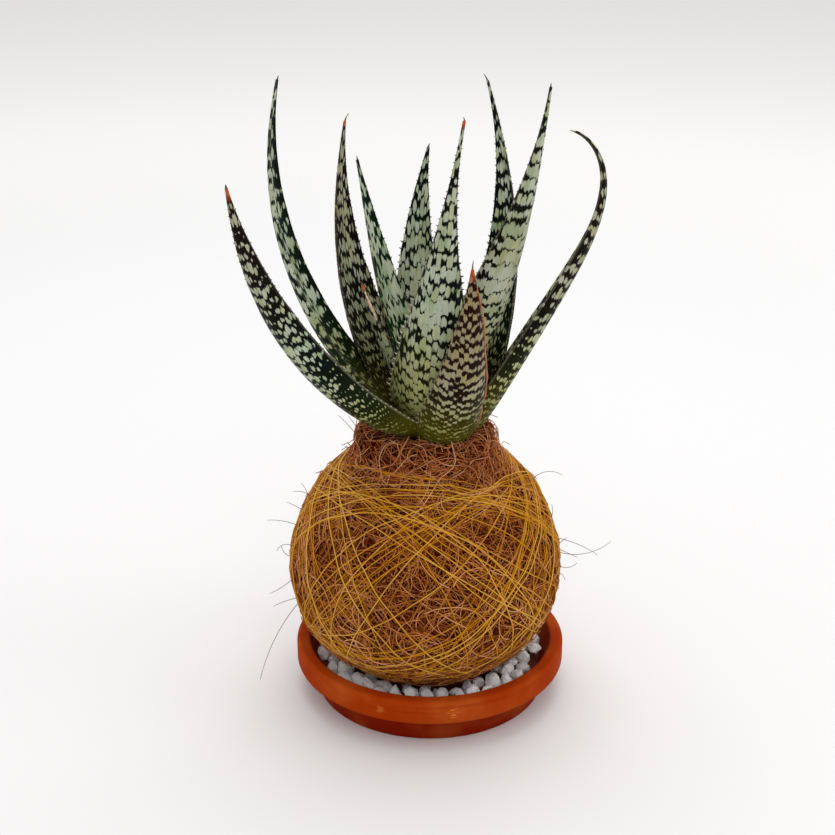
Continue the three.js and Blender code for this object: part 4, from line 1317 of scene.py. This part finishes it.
class KOKEDAMA_OT_strips(bpy.types.Operator):
    """Adds the dried strips that cling to the margins of three leaves"""
    bl_idname = "kokedama.strips"
    bl_label = "Dried strips"

    def execute(self, context):
        s = context.scene.kokedama.leaf
        nodes = new_material("dried_strip")
        cloud = nodes.noise(nodes.object_place(), 130, 3)
        colour = nodes.colour(nodes.attribute("tone") + (cloud - 0.4) * 0.7, s.strip, s.pale_strip)
        material = nodes.surface(colour, 0.6, 0.2, cloud, 0.3 * MM)
        paths = []
        for strip in STRIPS:
            rings, shares, _, side = leaf_rings(*LEAVES[strip.leaf], list(LEAVES).index(strip.leaf))
            margin = rings[:, leaf_ring().index((strip.side, ON_MARGIN))]
            chosen = (shares >= strip.first) & (shares <= strip.last)
            run = np.linspace(0, 1, chosen.sum())
            off = strip.off * (0.6 + 0.6 * np.sin(run * 17)) * strip.side
            path = margin[chosen] + side[chosen] * off[:, None]
            swell = (0.35 + 0.65 * np.sin(run * math.pi) ** 0.5) * (1 + 0.25 * np.sin(run * 41))
            paths.append((path * MM, strip.radius * swell * MM, strip.tone))
        place(tubes("dried_strips", paths, material), "aloe_leaf")
        return {"FINISHED"}


# Inside of the ball
def plain_material(name, first, second, scale, roughness):
    """A cloudy mixture of two colours"""
    nodes = new_material(name)
    cloud = nodes.noise(nodes.object_place(), scale, 5)
    return nodes.surface(nodes.colour(cloud, first, second), roughness, 0.2, cloud, 1 * MM)


class KOKEDAMA_OT_inside(bpy.types.Operator):
    """Gives the soil and the plant's stem their finish"""
    bl_idname = "kokedama.inside"
    bl_label = "Soil and stem"

    def execute(self, context):
        s = context.scene.kokedama.inside
        soil = plain_material("potting_soil", s.soil, s.pale_soil, 260, 0.95)
        stem = plain_material("plant_stem", s.stem, s.pale_stem, 140, 0.6)
        for node, material in (("soil_core", soil), ("stem", stem)):
            frame["nodes"][node].material_slots[0].material = material
        return {"FINISHED"}


# Stage
def add_light(name, position, size, power):
    """A round soft light that faces the lit point"""
    data = bpy.data.lights.new(name, "AREA")
    data.shape = "DISK"
    data.size = size
    data.energy = power
    light = bpy.data.objects.new(name, data)
    bpy.context.scene.collection.objects.link(light)
    light.location = position
    x, y, z = np.subtract(LIT_POINT, position)
    light.rotation_euler = (math.atan2(math.hypot(x, y), -z), 0, math.atan2(y, x) - math.pi / 2)


def floor_material(s):
    """A pale floor with painted shade, a little darker where the lights make it brightest"""
    nodes = new_material("pale_floor")
    away = nodes.vector("DISTANCE", nodes.object_place(), BRIGHTEST_FLOOR, output=1)
    return nodes.surface(nodes.colour(nodes.step(away, 0.35, 0.8), s.near_floor, s.far_floor), 0.8, 0)


class KOKEDAMA_OT_stage(bpy.types.Operator):
    """Sets the pale floor, the soft studio light and the camera"""
    bl_idname = "kokedama.stage"
    bl_label = "Stage"

    def execute(self, context):
        s = context.scene.kokedama.stage
        corners = [(x * FLOOR_REACH, y * FLOOR_REACH, 0) for x, y in ((-1, -1), (1, -1), (1, 1), (-1, 1))]
        new_piece("floor", corners, [(0, 1, 2, 3)], floor_material(s))
        world = bpy.data.worlds.new("studio")
        world.use_nodes = True
        background = world.node_tree.nodes["Background"]
        background.inputs["Color"].default_value = (1, 1, 1, 1)
        background.inputs["Strength"].default_value = s.sky
        context.scene.world = world
        for light in LIGHTS:
            add_light(*light)
        camera = bpy.data.objects.new("camera", bpy.data.cameras.new("camera"))
        context.scene.collection.objects.link(camera)
        camera.data.lens = s.lens
        camera.data.sensor_width = SENSOR_WIDTH
        camera.data.clip_start = NEAREST_SEEN
        camera.location = (-s.offset, -s.distance * math.cos(s.elevation),
                           s.height + s.distance * math.sin(s.elevation))
        camera.rotation_euler = (math.pi / 2 - s.elevation, 0, 0)
        context.scene.camera = camera
        context.scene.view_settings.view_transform = "Standard"
        return {"FINISHED"}


class KOKEDAMA_PT_panel(bpy.types.Panel):
    bl_label = "Kokedama"
    bl_idname = "KOKEDAMA_PT_panel"
    bl_space_type = "VIEW_3D"
    bl_region_type = "UI"
    bl_category = "Kokedama"

    def draw(self, context):
        for operator in OPERATORS:
            self.layout.operator(operator.bl_idname)
        for part in KokedamaSettings.__annotations__:
            group = getattr(context.scene.kokedama, part)
            box = self.layout.box()
            box.label(text=part.capitalize())
            for name in group.__annotations__:
                box.prop(group, name)


SETTINGS = (SaucerSettings, GravelSettings, BallSettings, LeafSettings, InsideSettings, StageSettings,
            KokedamaSettings)
OPERATORS = (KOKEDAMA_OT_stage, KOKEDAMA_OT_saucer, KOKEDAMA_OT_gravel, KOKEDAMA_OT_inside,
             KOKEDAMA_OT_coir, KOKEDAMA_OT_hairs, KOKEDAMA_OT_thread, KOKEDAMA_OT_leaves,
             KOKEDAMA_OT_strips)
CLASSES = (*SETTINGS, *OPERATORS, KOKEDAMA_PT_panel)


def register():
    for cls in CLASSES:
        bpy.utils.register_class(cls)
    bpy.types.Scene.kokedama = PointerProperty(type=KokedamaSettings)


def unregister():
    del bpy.types.Scene.kokedama
    for cls in reversed(CLASSES):
        bpy.utils.unregister_class(cls)


def main():
    register()
    bpy.ops.kokedama.stage()
    bpy.ops.kokedama.saucer()
    bpy.ops.kokedama.gravel()
    bpy.ops.kokedama.inside()
    bpy.ops.kokedama.coir()
    bpy.ops.kokedama.hairs()
    bpy.ops.kokedama.thread()
    bpy.ops.kokedama.leaves()
    bpy.ops.kokedama.strips()


if __name__ == "__main__":
    main()
